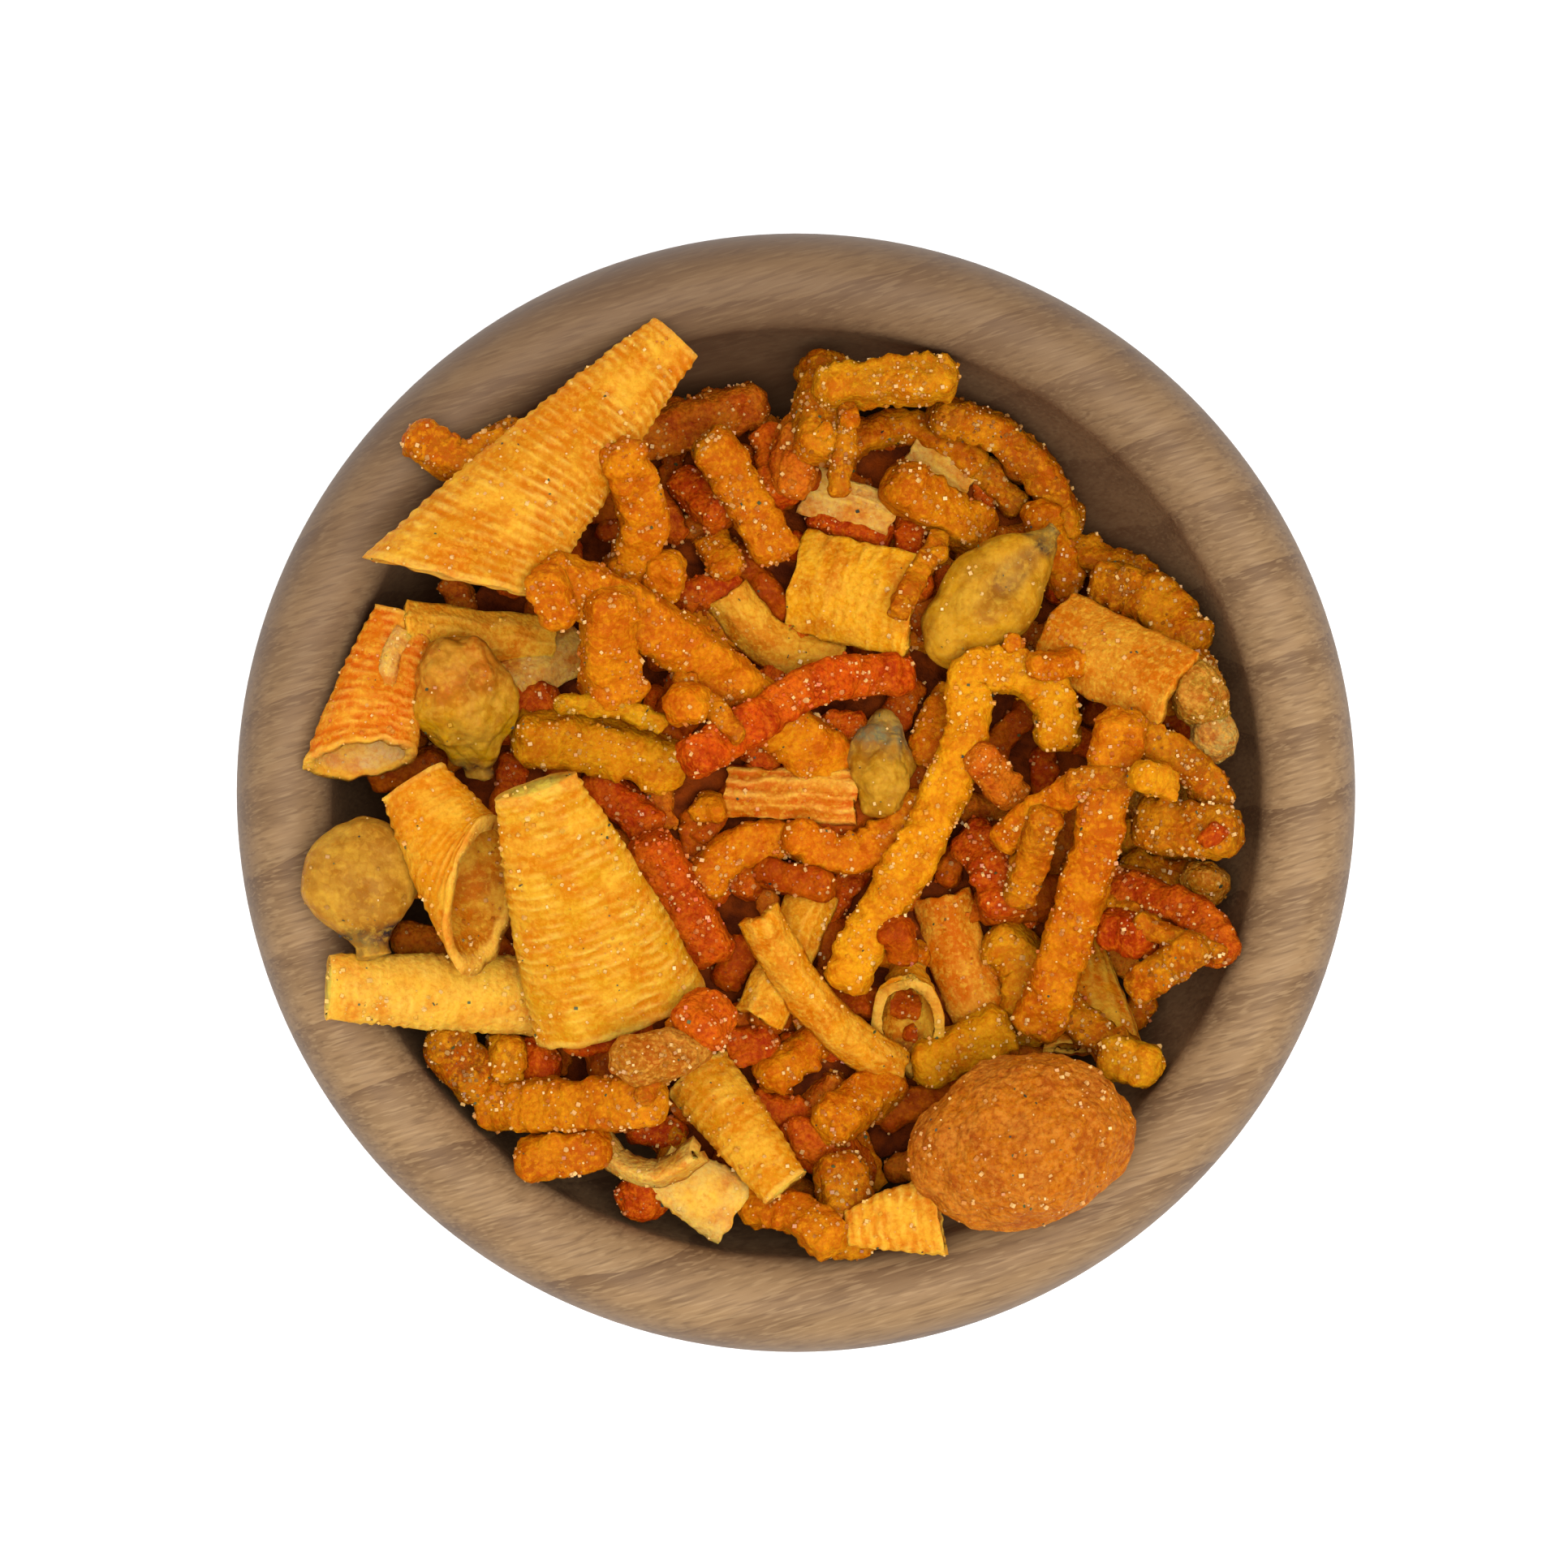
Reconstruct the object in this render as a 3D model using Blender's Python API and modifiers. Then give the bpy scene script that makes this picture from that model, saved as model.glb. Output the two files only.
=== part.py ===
"""A small turned wooden bowl heaped with a savoury corn snack mix.

Frame: metres, +Z up, the bowl's axis on Z and its foot on z = 0. The layout below is written in
millimetres, as the pieces are seen from straight above at the level of the rim; "settle" then
lays every piece on what is already in the bowl, in the order of the list.
"""

import math
import random

import bmesh
import bpy
import numpy as np
from mathutils import Matrix, Vector

MM = 0.001

# Bowl, in millimetres
BOWL_RADIUS = 50.0
BOWL_HEIGHT = 46.0
BELLY_LEVEL = 37.0
FOOT_RADIUS = 25.0
FOOT_ROUNDING = 1.0
CREST_RADIUS = 45.2
LIP_RADIUS = 41.0
LIP_LEVEL = 42.0
FLOOR_LEVEL = 9.0
BELLY_DROP = 38.0
BOWL_STEPS = 60
ARC_POINTS = 8
LIP_POINTS = 4
SHOULDER_POINTS = 5

# Core of the heap
CORE_GAP = 0.7
CORE_EDGE_LEVEL = 34.0
CORE_DOME = 3.0
CORE_LEAN = (-0.13, -0.08)
CORE_SWELL = 1.5
CORE_STEPS = 24
CORE_RINGS = (0, 7, 14, 21, 28, 34)
CORE_WALL_TOP = 26.0
CORE_WALL_RINGS = 6

# How the pieces lie
EYE_OVER_RIM = 330.0
WALL_CLEARANCE = 0.7
SINK = 1.0
LEAST_BITE = 0.4
PROP_REACH = 4.0
PROP_WIDTHS = (2.0, 5.0)
GRID_STEP = 0.5
NOTHING = -1000.0
WIDEST_HALF = 9.0
PATH_STEP = 2.0
STEEPEST = 0.6
FILLER_COUNT = 10
FILLER_SEED = 7
FILLER_SPREAD = 33.0
FILLER_HALF_LENGTHS = (4.0, 7.0)
FILLER_WIDTHS = (3.6, 5.0)
GOLDEN_ANGLE = math.radians(137.5)

# The solids of the pieces
END_WIDTH = 0.7
ROUND_STICK = 4.9
STICK_RING_SPACING = 4.5
CHIP_RING_SPACING = 4.0
CHIP_ACROSS = 3
CHIP_THICKNESS = 1.3
CONE_WALL = 1.2
CONE_BULGE = 1.05
LARGE_MOUTH = 6.0
SEAM_WELD = 0.01 * MM
FUSED_WELD = 0.002 * MM


def stick(width, *path, sink=SINK):
    return {"kind": "stick", "width": width, "height": width, "path": path, "sink": sink}


def chip(width, *path, height=2.6, sink=SINK):
    return {"kind": "chip", "width": width, "height": height, "path": path, "sink": sink}


def kernel(width, height, *path, sink=SINK):
    return {"kind": "kernel", "width": width, "height": height, "path": path, "sink": sink}


def cone(tip, tip_width, mouth, mouth_width, flat=1.0, faces=None, sink=SINK):
    return {"kind": "cone", "width": mouth_width, "height": mouth_width * flat,
            "tip": tip_width / mouth_width, "path": (tip, mouth), "faces": faces, "sink": sink}


LAYOUT = [
    # Deep pieces, seen only through the gaps
    stick(4.8, (-31, -21), (-27.4, -26)),
    kernel(4.6, 4.2, (-24.8, -23.5), (-20.2, -23.5)),
    stick(3.2, (-25.0, -21.4), (-25.4, -25)),
    stick(2.6, (-37, 0.8), (-31, 3)),
    stick(3.0, (-20, -21.7), (-13, -20.5)),
    stick(3.2, (9.8, 25), (10.5, 17)),
    stick(3.2, (-10.3, 17), (-4.7, 17.8)),
    stick(3.4, (-10, 27.5), (-6.5, 24)),
    stick(3.2, (1.5, 24.5), (8, 22)),
    stick(3.5, (2, 5.5), (6, 5.2)),
    stick(3.6, (-6, -22.5), (-2, -21.5)),
    stick(3.4, (-4, -27.5), (1, -28.5)),
    stick(3.4, (31, 7), (27, 3.5)),
    stick(3.2, (-2.2, 31.5), (-1.4, 25.5)),
    kernel(4.6, 4.2, (-15.5, -34.6), (-11.2, -35.4)),
    # Low pieces round the wall
    stick(4.5, (-14.5, 30.5), (-10.5, 32), (-3, 34)),
    stick(2.6, (16, 28.5), (19.5, 24.5)),
    stick(3.2, (2.6, 28.2), (5.5, 31), (9, 32.2), (12.5, 31), (15.8, 28.4)),
    stick(3.6, (12, 33), (16.5, 31.8), (20.5, 29), (22.8, 25.5), (23.5, 22.5)),
    chip(4.5, (1, 26.5), (8.3, 23.8), height=2.2),
    chip(3.6, (10, 30), (15, 26.4), height=2.2),
    kernel(5.0, 4.5, (0, 33), (0, 26.2)),
    stick(3.2, (24.2, 21.3), (31.3, 18.4)),
    stick(5.0, (26.5, 18.2), (31.5, 16.5), (34.4, 12.4)),
    kernel(5.4, 5.0, (34, 11), (36.4, 6)),
    kernel(4.2, 4.0, (35.4, 6.6), (37.2, 3)),
    kernel(6.0, 5.4, (28.4, 0), (34.6, 0)),
    stick(3.4, (29, 4.8), (33.5, 2.5), (36.2, -1.4)),
    stick(3.6, (28.2, -4), (34.8, -4.9)),
    kernel(3.8, 3.8, (33.6, -8), (37.4, -8)),
    stick(3.8, (27.2, -8.2), (33, -9.8), (36, -12), (37.4, -14.4)),
    stick(3.6, (27, -11.5), (31, -13)),
    stick(3.4, (29.4, -17.3), (35.4, -13.3)),
    stick(5.0, (-27, 6.2), (-21, 8)),
    stick(4.6, (17.2, -12.6), (20, -15), (20, -21.6)),
    chip(5.5, (12.8, -9), (14, -14), (16.2, -19.4), height=3.2),
    cone((9.8, -15.2), 3.0, (9.8, -20.4), 6.6, faces=(-0.1, -0.35, 1.0)),
    stick(4.4, (15.2, -3.6), (17.5, -7), (18.6, -10.4)),
    kernel(5.4, 4.4, (-1.4, -28.6), (6.8, -34.4)),
    cone((-12.0, -32.8), 4.4, (-5.4, -36.4), 6.8, flat=0.6),
    cone((4.4, -38.0), 3.0, (12.6, -36.8), 7.2, flat=0.7),
    stick(4.0, (-4.4, -36), (0, -36.5), (3.4, -39.5)),
    chip(4.6, (-17.6, -28.6), (-16, -32), (-12, -33.4), (-8.6, -31.4), height=3.4),
    stick(4.0, (-24, -32.2), (-16.6, -30.9)),
    stick(4.8, (-27, -27.4), (-19, -27), (-12, -26.4)),
    kernel(4.5, 4.4, (-16.6, -23.6), (-7.4, -22.4), sink=2.0),
    cone((-40.9, -17.0), 5.6, (-22.5, -17.7), 7.0, flat=0.85),
    kernel(10.0, 7.0, (-38.8, -2.2), (-37.0, -13.4)),
    cone((-34.3, 15.8), 5.0, (-38.1, 2.9), 9.3, flat=0.6, faces=(0.1, -0.8, 0.5)),
    stick(3.6, (-33.6, 31.4), (-29.5, 29), (-24.6, 30.2)),
    stick(3.8, (-17.8, 1.5), (-12.5, -3.4)),
    stick(3.9, (-8.6, -8.4), (-5.5, -5), (-0.7, -3.7)),
    stick(3.9, (-0.8, -3.4), (3, -5.3), (7, -4.5), (11.3, -0.7)),
    kernel(5.6, 5.6, (7.5, 7.2), (7.5, -1.8)),
    stick(4.0, (14, 8.4), (12, 5), (12, 2.6)),
    chip(4.6, (1.7, -8.4), (-0.5, -14), (-3.2, -19.6), height=3.0),
    stick(3.6, (-2.6, -25.3), (1.8, -21.5)),
    stick(4.5, (2.4, -29.3), (8.3, -25)),
    cone((-0.9, -34.5), 4.5, (-8.6, -24.6), 6.4, flat=0.85),
    # Pieces halfway up
    cone((-33.5, 1.0), 6.0, (-27.5, -9.0), 14.4, flat=0.55, faces=(0.75, -0.2, 0.5), sink=2.0),
    chip(4.6, (-24.6, 9.6), (-18.6, 13), height=2.4),
    chip(4.6, (-34, 14.6), (-21.2, 13), height=2.8, sink=2.0),
    cone((-10.6, 39.8), 5.0, (-30.1, 18.8), 13.6, flat=0.6, faces=(-0.22, -0.97, 0)),
    kernel(9.2, 7.0, (-29.9, 13.6), (-28, 2.4), sink=2.5),
    stick(4.6, (10.6, -23.8), (14.5, -22.5), (18.4, -20.2)),
    stick(4.2, (-15.6, 30), (-13.8, 26), (-13.5, 22.5), (-15.1, 18.6)),
    stick(4.2, (-7.7, 30.9), (-5.5, 27.5), (-3.3, 23.5), (-1.3, 20.7)),
    stick(4.8, (8.6, 27.5), (12.5, 24.8), (16.4, 22.2)),
    stick(3.3, (21.4, 25), (22.2, 22), (23.8, 17.6)),
    chip(8.0, (22.0, 14.4), (27.4, 14), (33, 9), height=3.4),
    kernel(8.6, 7.6, (21.6, 22), (12.2, 11.8)),
    stick(5.3, (-22.4, 19.2), (-14.5, 15.8), (-7.5, 10.8), (-2, 6.5), (3.9, 2.2), sink=2.0),
    chip(4.4, (-6, 17.4), (-3.5, 14), (0, 12), (4.2, 12), height=3.0),
    chip(9.4, (0, 18.6), (10.4, 16.2), height=4.4),
    stick(5.2, (-24.3, 4.8), (-18, 4.3), (-10.2, 2.1)),
    stick(5.0, (-16.3, 17.4), (-16.3, 12), (-15.7, 7.9), sink=2.5),
    chip(4.2, (-6, 0), (5.3, -0.4), height=2.6),
    stick(4.6, (-13, -4.2), (-10, -9.5), (-7.1, -14.4)),
    cone((25, -11.4), 2.0, (25.9, -22.2), 9.0, flat=0.4),
    stick(4.0, (27, -22.9), (31.4, -24.2)),
    kernel(14.6, 12.0, (9.8, -33.2), (29.6, -27.8), sink=3.0),
    kernel(5.3, 4.0, (-8, -22.2), (-8, -17.2), sink=2.0),
    # Top pieces
    stick(4.4, (22.8, 4), (22.8, 7.5), (20.5, 10.2), (17.5, 10.8), (15.2, 10), (15, 6), (13, 0), (10, -6),
          (7, -11), (4.1, -16.9)),
    stick(4.6, (27.5, 6.4), (26.8, 2), (26, -3), (25, -8), (23.5, -14), (21.4, -21.4)),
    stick(3.0, (25.2, 1.2), (22, -1), (18, -4.2)),
    stick(3.1, (22.2, -1.6), (19.3, -9.4)),
    stick(3.9, (-9.4, 2.8), (-4, 6), (2.5, 9.8), (9.7, 10.3)),
    chip(4.0, (-3.2, -10.9), (0, -16.5), (4, -21), (9.2, -24.4), height=3.2),
    cone((-22.8, 0.6), 7.2, (-15.5, -18.9), 15.7, flat=0.55, sink=2.5),
    stick(4.2, (2, 35.4), (13.4, 35.8)),
]


def arc(centre, radii, first, last, count):
    """Points of an upright elliptical arc, its angles in degrees from straight up outwards."""
    angles = np.radians(np.linspace(first, last, count))
    return [(centre[0] + radii[0] * math.sin(a), centre[1] + radii[1] * math.cos(a)) for a in angles]


def inner_side():
    """Half section of the bowl's inside in mm, from the middle of its floor up to the crest."""
    wall = arc((0, LIP_LEVEL), (LIP_RADIUS, LIP_LEVEL - FLOOR_LEVEL), 180, 90, ARC_POINTS)
    lip_radii = (CREST_RADIUS - LIP_RADIUS, BOWL_HEIGHT - LIP_LEVEL)
    lip = arc((CREST_RADIUS, LIP_LEVEL), lip_radii, -90, 0, LIP_POINTS)
    return wall + lip[1:]


def bowl_profile():
    """Half section of the bowl in mm, from the middle of its floor over the rim to its foot."""
    shoulder_radii = (BOWL_RADIUS - CREST_RADIUS, BOWL_HEIGHT - BELLY_LEVEL)
    shoulder = arc((CREST_RADIUS, BELLY_LEVEL), shoulder_radii, 0, 90, SHOULDER_POINTS)
    foot_angle = 90 + math.degrees(math.acos(FOOT_RADIUS / BOWL_RADIUS))
    belly = arc((0, BELLY_LEVEL), (BOWL_RADIUS, BELLY_DROP), 90, foot_angle, ARC_POINTS)
    foot = [(FOOT_RADIUS, FOOT_ROUNDING), (FOOT_RADIUS - FOOT_ROUNDING, 0), (0, 0)]
    return inner_side() + shoulder[1:] + belly[1:] + foot


def core_top(x, y):
    """Level that carries the lowest pieces: a low dome that leans down to the back right."""
    reach = np.hypot(x, y) / LIP_RADIUS
    return CORE_EDGE_LEVEL + CORE_DOME * (1 - reach ** 2) + CORE_LEAN[0] * x + CORE_LEAN[1] * y


def wall_radius(level):
    """How far from the axis a piece may reach at a level, a gap short of the inner wall."""
    radii, levels = zip(*inner_side())
    return max(float(np.interp(level - CORE_GAP, levels, radii)) - 0.6 * CORE_GAP, 0.0)


def core_profile():
    """Half section of the core: its top, then down beside the bowl's wall to the floor."""
    top = [(r, CORE_EDGE_LEVEL) for r in (*CORE_RINGS, LIP_RADIUS - CORE_GAP)]
    floor = FLOOR_LEVEL + CORE_GAP
    wall = [(wall_radius(z), z) for z in np.linspace(CORE_WALL_TOP, floor, CORE_WALL_RINGS)[:-1]]
    return top + wall + [(0, floor)]


def bowl_surface(radius):
    """Level of the bowl's upper side grown by the clearance, at each distance from the axis."""
    level = np.full(radius.shape, NOTHING)
    upper = inner_side() + bowl_profile()[len(inner_side()):len(inner_side()) + SHOULDER_POINTS]
    for (r0, z0), (r1, z1) in zip(upper, upper[1:]):
        for t in np.linspace(0, 1, 20):
            r, z = r0 + (r1 - r0) * t, z0 + (z1 - z0) * t
            inside = WALL_CLEARANCE ** 2 - (radius - r) ** 2
            level = np.where(inside > 0, np.maximum(level, z + np.sqrt(np.maximum(inside, 0))), level)
    return level


def smooth_path(path, step):
    """The route through the given points as a rounded line with a point about every step."""
    points = [np.array(p, float) for p in path]
    if len(points) == 2:
        count = max(2, math.ceil(np.linalg.norm(points[1] - points[0]) / step) + 1)
        return np.array([points[0] + (points[1] - points[0]) * t for t in np.linspace(0, 1, count)])
    line = []
    padded = [2 * points[0] - points[1]] + points + [2 * points[-1] - points[-2]]
    for a, b, c, d in zip(padded, padded[1:], padded[2:], padded[3:]):
        count = max(1, math.ceil(np.linalg.norm(c - b) / step))
        for t in np.linspace(0, 1, count, endpoint=False):
            line.append(0.5 * (2 * b + (c - a) * t + (2 * a - 5 * b + 4 * c - d) * t ** 2
                               + (3 * b - a - 3 * c + d) * t ** 3))
    line.append(points[-1])
    return np.array(line)


def fullness(piece, t):
    """How much of its full width a piece has at the fraction t of its length."""
    if piece["kind"] == "cone":
        return piece["tip"] + (1 - piece["tip"]) * t
    if piece["kind"] == "kernel":
        return np.sqrt(np.maximum(1 - (2 * t - 1) ** 2, 0.04))
    ends = np.minimum(t, 1 - t) * piece["length"] / (0.5 * piece["width"])
    return END_WIDTH + (1 - END_WIDTH) * np.minimum(ends, 1)


class Heap:
    """The heap's upper surface as a grid of levels, on which the pieces are laid one by one."""

    def __init__(self):
        axis = np.arange(-BOWL_RADIUS - 2, BOWL_RADIUS + 2 + GRID_STEP, GRID_STEP)
        self.x, self.y = np.meshgrid(axis, axis)
        radius = np.hypot(self.x, self.y)
        self.bowl = bowl_surface(radius)
        core = core_top(self.x, self.y)
        self.food = np.where((radius < LIP_RADIUS - CORE_GAP) & (core > self.bowl), core, NOTHING)

    def near(self, line):
        """The cells beside a line, how far along it each one is, and how far away from it."""
        low, high = line.min(axis=0) - WIDEST_HALF, line.max(axis=0) + WIDEST_HALF
        box = (self.x > low[0]) & (self.x < high[0]) & (self.y > low[1]) & (self.y < high[1])
        cells = np.column_stack([self.x[box], self.y[box]])
        lengths = np.linalg.norm(np.diff(line, axis=0), axis=1)
        starts = np.concatenate([[0], np.cumsum(lengths)])
        best = np.full(len(cells), np.inf)
        along = np.zeros(len(cells))
        for i, length in enumerate(lengths):
            direction = (line[i + 1] - line[i]) / length
            s = (cells - line[i]) @ direction
            before = -np.inf if i == 0 else 0.0
            after = np.inf if i == len(lengths) - 1 else length
            s = np.clip(s, before, after)
            distance = np.linalg.norm(cells - line[i] - s[:, None] * direction, axis=1)
            closer = distance < best
            best[closer] = distance[closer]
            along[closer] = starts[i] + s[closer]
        return box, along, best, starts[-1]

    def rest(self, piece):
        """Where a piece comes to lie: its middle line, the cells it covers and its form there."""
        seen = smooth_path(piece["path"], PATH_STEP)
        levels = np.full(len(seen), BOWL_HEIGHT)
        for _ in range(4):
            line = seen * ((BOWL_HEIGHT + EYE_OVER_RIM - levels) / EYE_OVER_RIM)[:, None]
            box, along, away, length = self.near(line)
            piece["length"] = length
            full = fullness(piece, np.clip(along / length, 0, 1))
            inside = (along >= 0) & (along <= length) & (away < 0.5 * piece["width"] * full)
            along, away, full = along[inside], away[inside], full[inside]
            cap = 0.5 * piece["height"] * full * np.sqrt(1 - (2 * away / (piece["width"] * full)) ** 2)
            under = np.maximum(self.bowl[box][inside], self.food[box][inside] - piece["sink"])
            start, slope = resting_line(along, under + cap, length)
            stops = np.concatenate([[0], np.cumsum(np.linalg.norm(np.diff(line, axis=0), axis=1))])
            levels = start + slope * stops
        return np.column_stack([line, levels]), box, inside, start + slope * along, cap

    def settle(self, piece, props=2):
        """Lay a piece on the heap, with props under it where it would only touch the wall."""
        line, box, inside, middle, cap = self.rest(piece)
        gap = middle - cap - self.food[box][inside]
        if props and np.sort(gap)[3] > -LEAST_BITE:
            spot = np.argmin(gap)
            place = np.array([self.x[box][inside][spot], self.y[box][inside][spot]])
            place = place * EYE_OVER_RIM / (BOWL_HEIGHT + EYE_OVER_RIM - middle[spot])
            inward = place / np.hypot(*place) * PROP_REACH
            width = float(np.clip(gap[spot] + 1.5, *PROP_WIDTHS))
            prop = stick(width, place + 0.5 * inward, place - 1.5 * inward)
            return self.settle(prop, 0) + self.settle(piece, props - 1)
        patch = self.food[box]
        patch[inside] = np.maximum(patch[inside], middle + cap)
        self.food[box] = patch
        return [(piece, line)]


def resting_line(along, needed, length):
    """The lowest straight line over all the points that rests on both sides of the middle."""
    bins = (along / GRID_STEP).astype(int)
    places = np.unique(bins)
    high = np.array([needed[bins == b].max() for b in places])
    where = (places + 0.5) * GRID_STEP
    middle = length / 2
    left, right = where < middle, where >= middle
    if not left.any() or not right.any():
        return high.max(), 0.0
    run = where[right][None, :] - where[left][:, None]
    rise = high[right][None, :] - high[left][:, None]
    slopes = rise / run
    at_middle = high[left][:, None] + slopes * (middle - where[left][:, None])
    slope = float(np.clip(slopes.flat[np.argmax(at_middle)], -STEEPEST, STEEPEST))
    return float((needed - slope * along).max()), slope


def fillers():
    """Sticks by a seeded rule, a sunflower pattern over the core, that show between the others."""
    draw = random.Random(FILLER_SEED)
    found = []
    for i in range(FILLER_COUNT):
        radius = FILLER_SPREAD * math.sqrt((i + 0.5) / FILLER_COUNT)
        angle = i * GOLDEN_ANGLE + draw.uniform(-0.2, 0.2)
        middle = np.array([math.cos(angle), math.sin(angle)]) * radius
        turn = draw.uniform(0, math.pi)
        half = np.array([math.cos(turn), math.sin(turn)]) * draw.uniform(*FILLER_HALF_LENGTHS)
        found.append(stick(draw.uniform(*FILLER_WIDTHS), middle - half, middle + half))
    return found


def plain_material(name, colour, roughness):
    material = bpy.data.materials.new(name)
    material.use_nodes = True
    shader = material.node_tree.nodes["Principled BSDF"]
    shader.inputs["Base Color"].default_value = (*colour, 1)
    shader.inputs["Roughness"].default_value = roughness
    shader.inputs["Metallic"].default_value = 0
    return material


def add_object(name, mesh, collection):
    made = bpy.data.objects.new(name, mesh)
    collection.objects.link(made)
    return made


def mesh_from(bm, name):
    mesh = bpy.data.meshes.new(name)
    bm.to_mesh(mesh)
    bm.free()
    return mesh


def turned(name, profile, steps, collection, closed=False):
    """A half section in mm, spun round Z by a Screw modifier."""
    bm = bmesh.new()
    points = [bm.verts.new((r * MM, 0, z * MM)) for r, z in profile]
    for a, b in zip(points, points[1:]):
        bm.edges.new((a, b))
    if closed:
        bm.edges.new((points[-1], points[0]))
    made = add_object(name, mesh_from(bm, name), collection)
    screw = made.modifiers.new("Turn", "SCREW")
    screw.steps = steps
    screw.render_steps = steps
    screw.use_merge_vertices = True
    screw.merge_threshold = SEAM_WELD
    return made


def applied(made, weld=SEAM_WELD):
    """Replace an object's modifiers, or a curve, by the mesh that they make, its seams welded."""
    bpy.context.view_layer.update()
    mesh = bpy.data.meshes.new_from_object(made.evaluated_get(bpy.context.evaluated_depsgraph_get()))
    bm = bmesh.new()
    bm.from_mesh(mesh)
    bmesh.ops.remove_doubles(bm, verts=bm.verts, dist=weld)
    bm.to_mesh(mesh)
    bm.free()
    solid = add_object(made.name + "_solid", mesh, made.users_collection[0])
    solid.matrix_world = made.matrix_world
    bpy.data.objects.remove(made)
    return solid


def frame_along(line):
    """Matrix whose Z runs from the line's start to its end, with X level, at the start."""
    start, end = Vector(line[0]), Vector(line[-1])
    z = (end - start).normalized()
    x = Vector((-z.y, z.x, 0)).normalized() if abs(z.z) < 0.99 else Vector((1, 0, 0))
    y = z.cross(x)
    turn = Matrix((x, y, z)).transposed().to_4x4()
    return Matrix.Translation(start * MM) @ turn


def thin_out(line, spacing):
    """Fewer points of a line, about one each spacing, with both its ends."""
    count = max(2, round(np.linalg.norm(np.diff(line, axis=0), axis=1).sum() / spacing) + 1)
    picks = np.unique(np.linspace(0, len(line) - 1, count).round().astype(int))
    return line[picks]


def stick_solid(piece, line, name, collection):
    """A fried stick: a bevelled curve, a little thinner at both ends."""
    curve = bpy.data.curves.new(name, "CURVE")
    curve.dimensions = "3D"
    curve.bevel_depth = 0.5 * piece["width"] * MM
    curve.bevel_resolution = 2 if piece["width"] > ROUND_STICK else 1
    curve.use_fill_caps = True
    line = thin_out(line, STICK_RING_SPACING)
    along = np.concatenate([[0], np.cumsum(np.linalg.norm(np.diff(line, axis=0), axis=1))])
    length = along[-1]
    cap = min(0.5 * piece["width"], length * 0.3)
    between = [s for s in along[1:-1] if cap + 1 < s < length - cap - 1]
    stops = [0.0, cap, *between, length - cap, length]
    spline = curve.splines.new("POLY")
    spline.points.add(len(stops) - 1)
    for point, s in zip(spline.points, stops):
        place = [np.interp(s, along, line[:, axis]) * MM for axis in range(3)]
        point.co = (*place, 1)
        point.radius = END_WIDTH if s in (0.0, length) else 1.0
    made = bpy.data.objects.new(name, curve)
    collection.objects.link(made)
    return applied(made)


def chip_solid(piece, line, name, collection):
    """A crisp: a thin sheet along the line, arched across."""
    line = thin_out(line, CHIP_RING_SPACING)
    bm = bmesh.new()
    bmesh.ops.create_grid(bm, x_segments=max(len(line) - 1, 2), y_segments=CHIP_ACROSS, size=1.0)
    stops = np.linspace(0, 1, len(line))
    rise = piece["height"] - CHIP_THICKNESS

    def on_line(t):
        return np.array([np.interp(t, stops, line[:, axis]) for axis in range(3)])

    for vert in bm.verts:
        t, across = (vert.co.x + 1) / 2, vert.co.y
        ahead = on_line(min(t + 0.1, 1)) - on_line(max(t - 0.1, 0))
        side = np.array([-ahead[1], ahead[0], 0]) / np.hypot(ahead[0], ahead[1])
        reach = across * 0.5 * piece["width"] * fullness(piece, t)
        lift = np.array([0, 0, rise * (0.5 - across ** 2)])
        vert.co = Vector(on_line(t) + side * reach + lift) * MM
    made = add_object(name, mesh_from(bm, name), collection)
    shell = made.modifiers.new("Thickness", "SOLIDIFY")
    shell.thickness = CHIP_THICKNESS * MM
    shell.offset = 0
    return applied(made)


def kernel_solid(piece, line, name, collection):
    """A nut or kernel: an icosphere stretched along its line."""
    bm = bmesh.new()
    bmesh.ops.create_icosphere(bm, subdivisions=2, radius=1.0)
    start, end = np.array(line[0]), np.array(line[-1])
    half = 0.5 * np.linalg.norm(end - start)
    for vert in bm.verts:
        vert.co.x *= 0.5 * piece["width"] * MM
        vert.co.y *= 0.5 * piece["height"] * MM
        vert.co.z = (vert.co.z + 1) * half * MM
    made = add_object(name, mesh_from(bm, name), collection)
    made.matrix_world = frame_along(line)
    return made


def cone_solid(piece, line, name, collection):
    """A hollow corn cone: a spun wall, open at both ends, its mouth cut to face the given way."""
    length = float(np.linalg.norm(line[-1] - line[0]))
    mouth = 0.5 * piece["width"]
    tip = mouth * piece["tip"]
    hollow = max(tip - CONE_WALL, CONE_WALL / 2)
    bulge = 0.5 * (mouth + tip) * CONE_BULGE
    outer = [(mouth, length), (bulge, length * 0.5), (tip, 0)]
    inner = [(hollow, 0), (bulge - CONE_WALL, length * 0.5), (mouth - CONE_WALL, length)]
    large = mouth > LARGE_MOUTH
    profile = outer + inner if large else [outer[0], outer[2], inner[0], inner[2]]
    made = applied(turned(name, profile, 12 if large else 8, collection, closed=True))
    frame = frame_along(line)
    faces = frame.to_3x3().inverted() @ Vector(piece["faces"] or frame.col[2][:3]).normalized()
    slant_x, slant_y = (-part / max(faces.z, 0.35) for part in faces.xy)
    for vert in made.data.vertices:
        t = vert.co.z / (length * MM)
        vert.co.y *= piece["height"] / piece["width"]
        vert.co.z += (slant_x * vert.co.x + slant_y * vert.co.y) * t ** 2
    made.matrix_world = frame
    return made


SOLIDS = {"stick": stick_solid, "chip": chip_solid, "kernel": kernel_solid, "cone": cone_solid}


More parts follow.
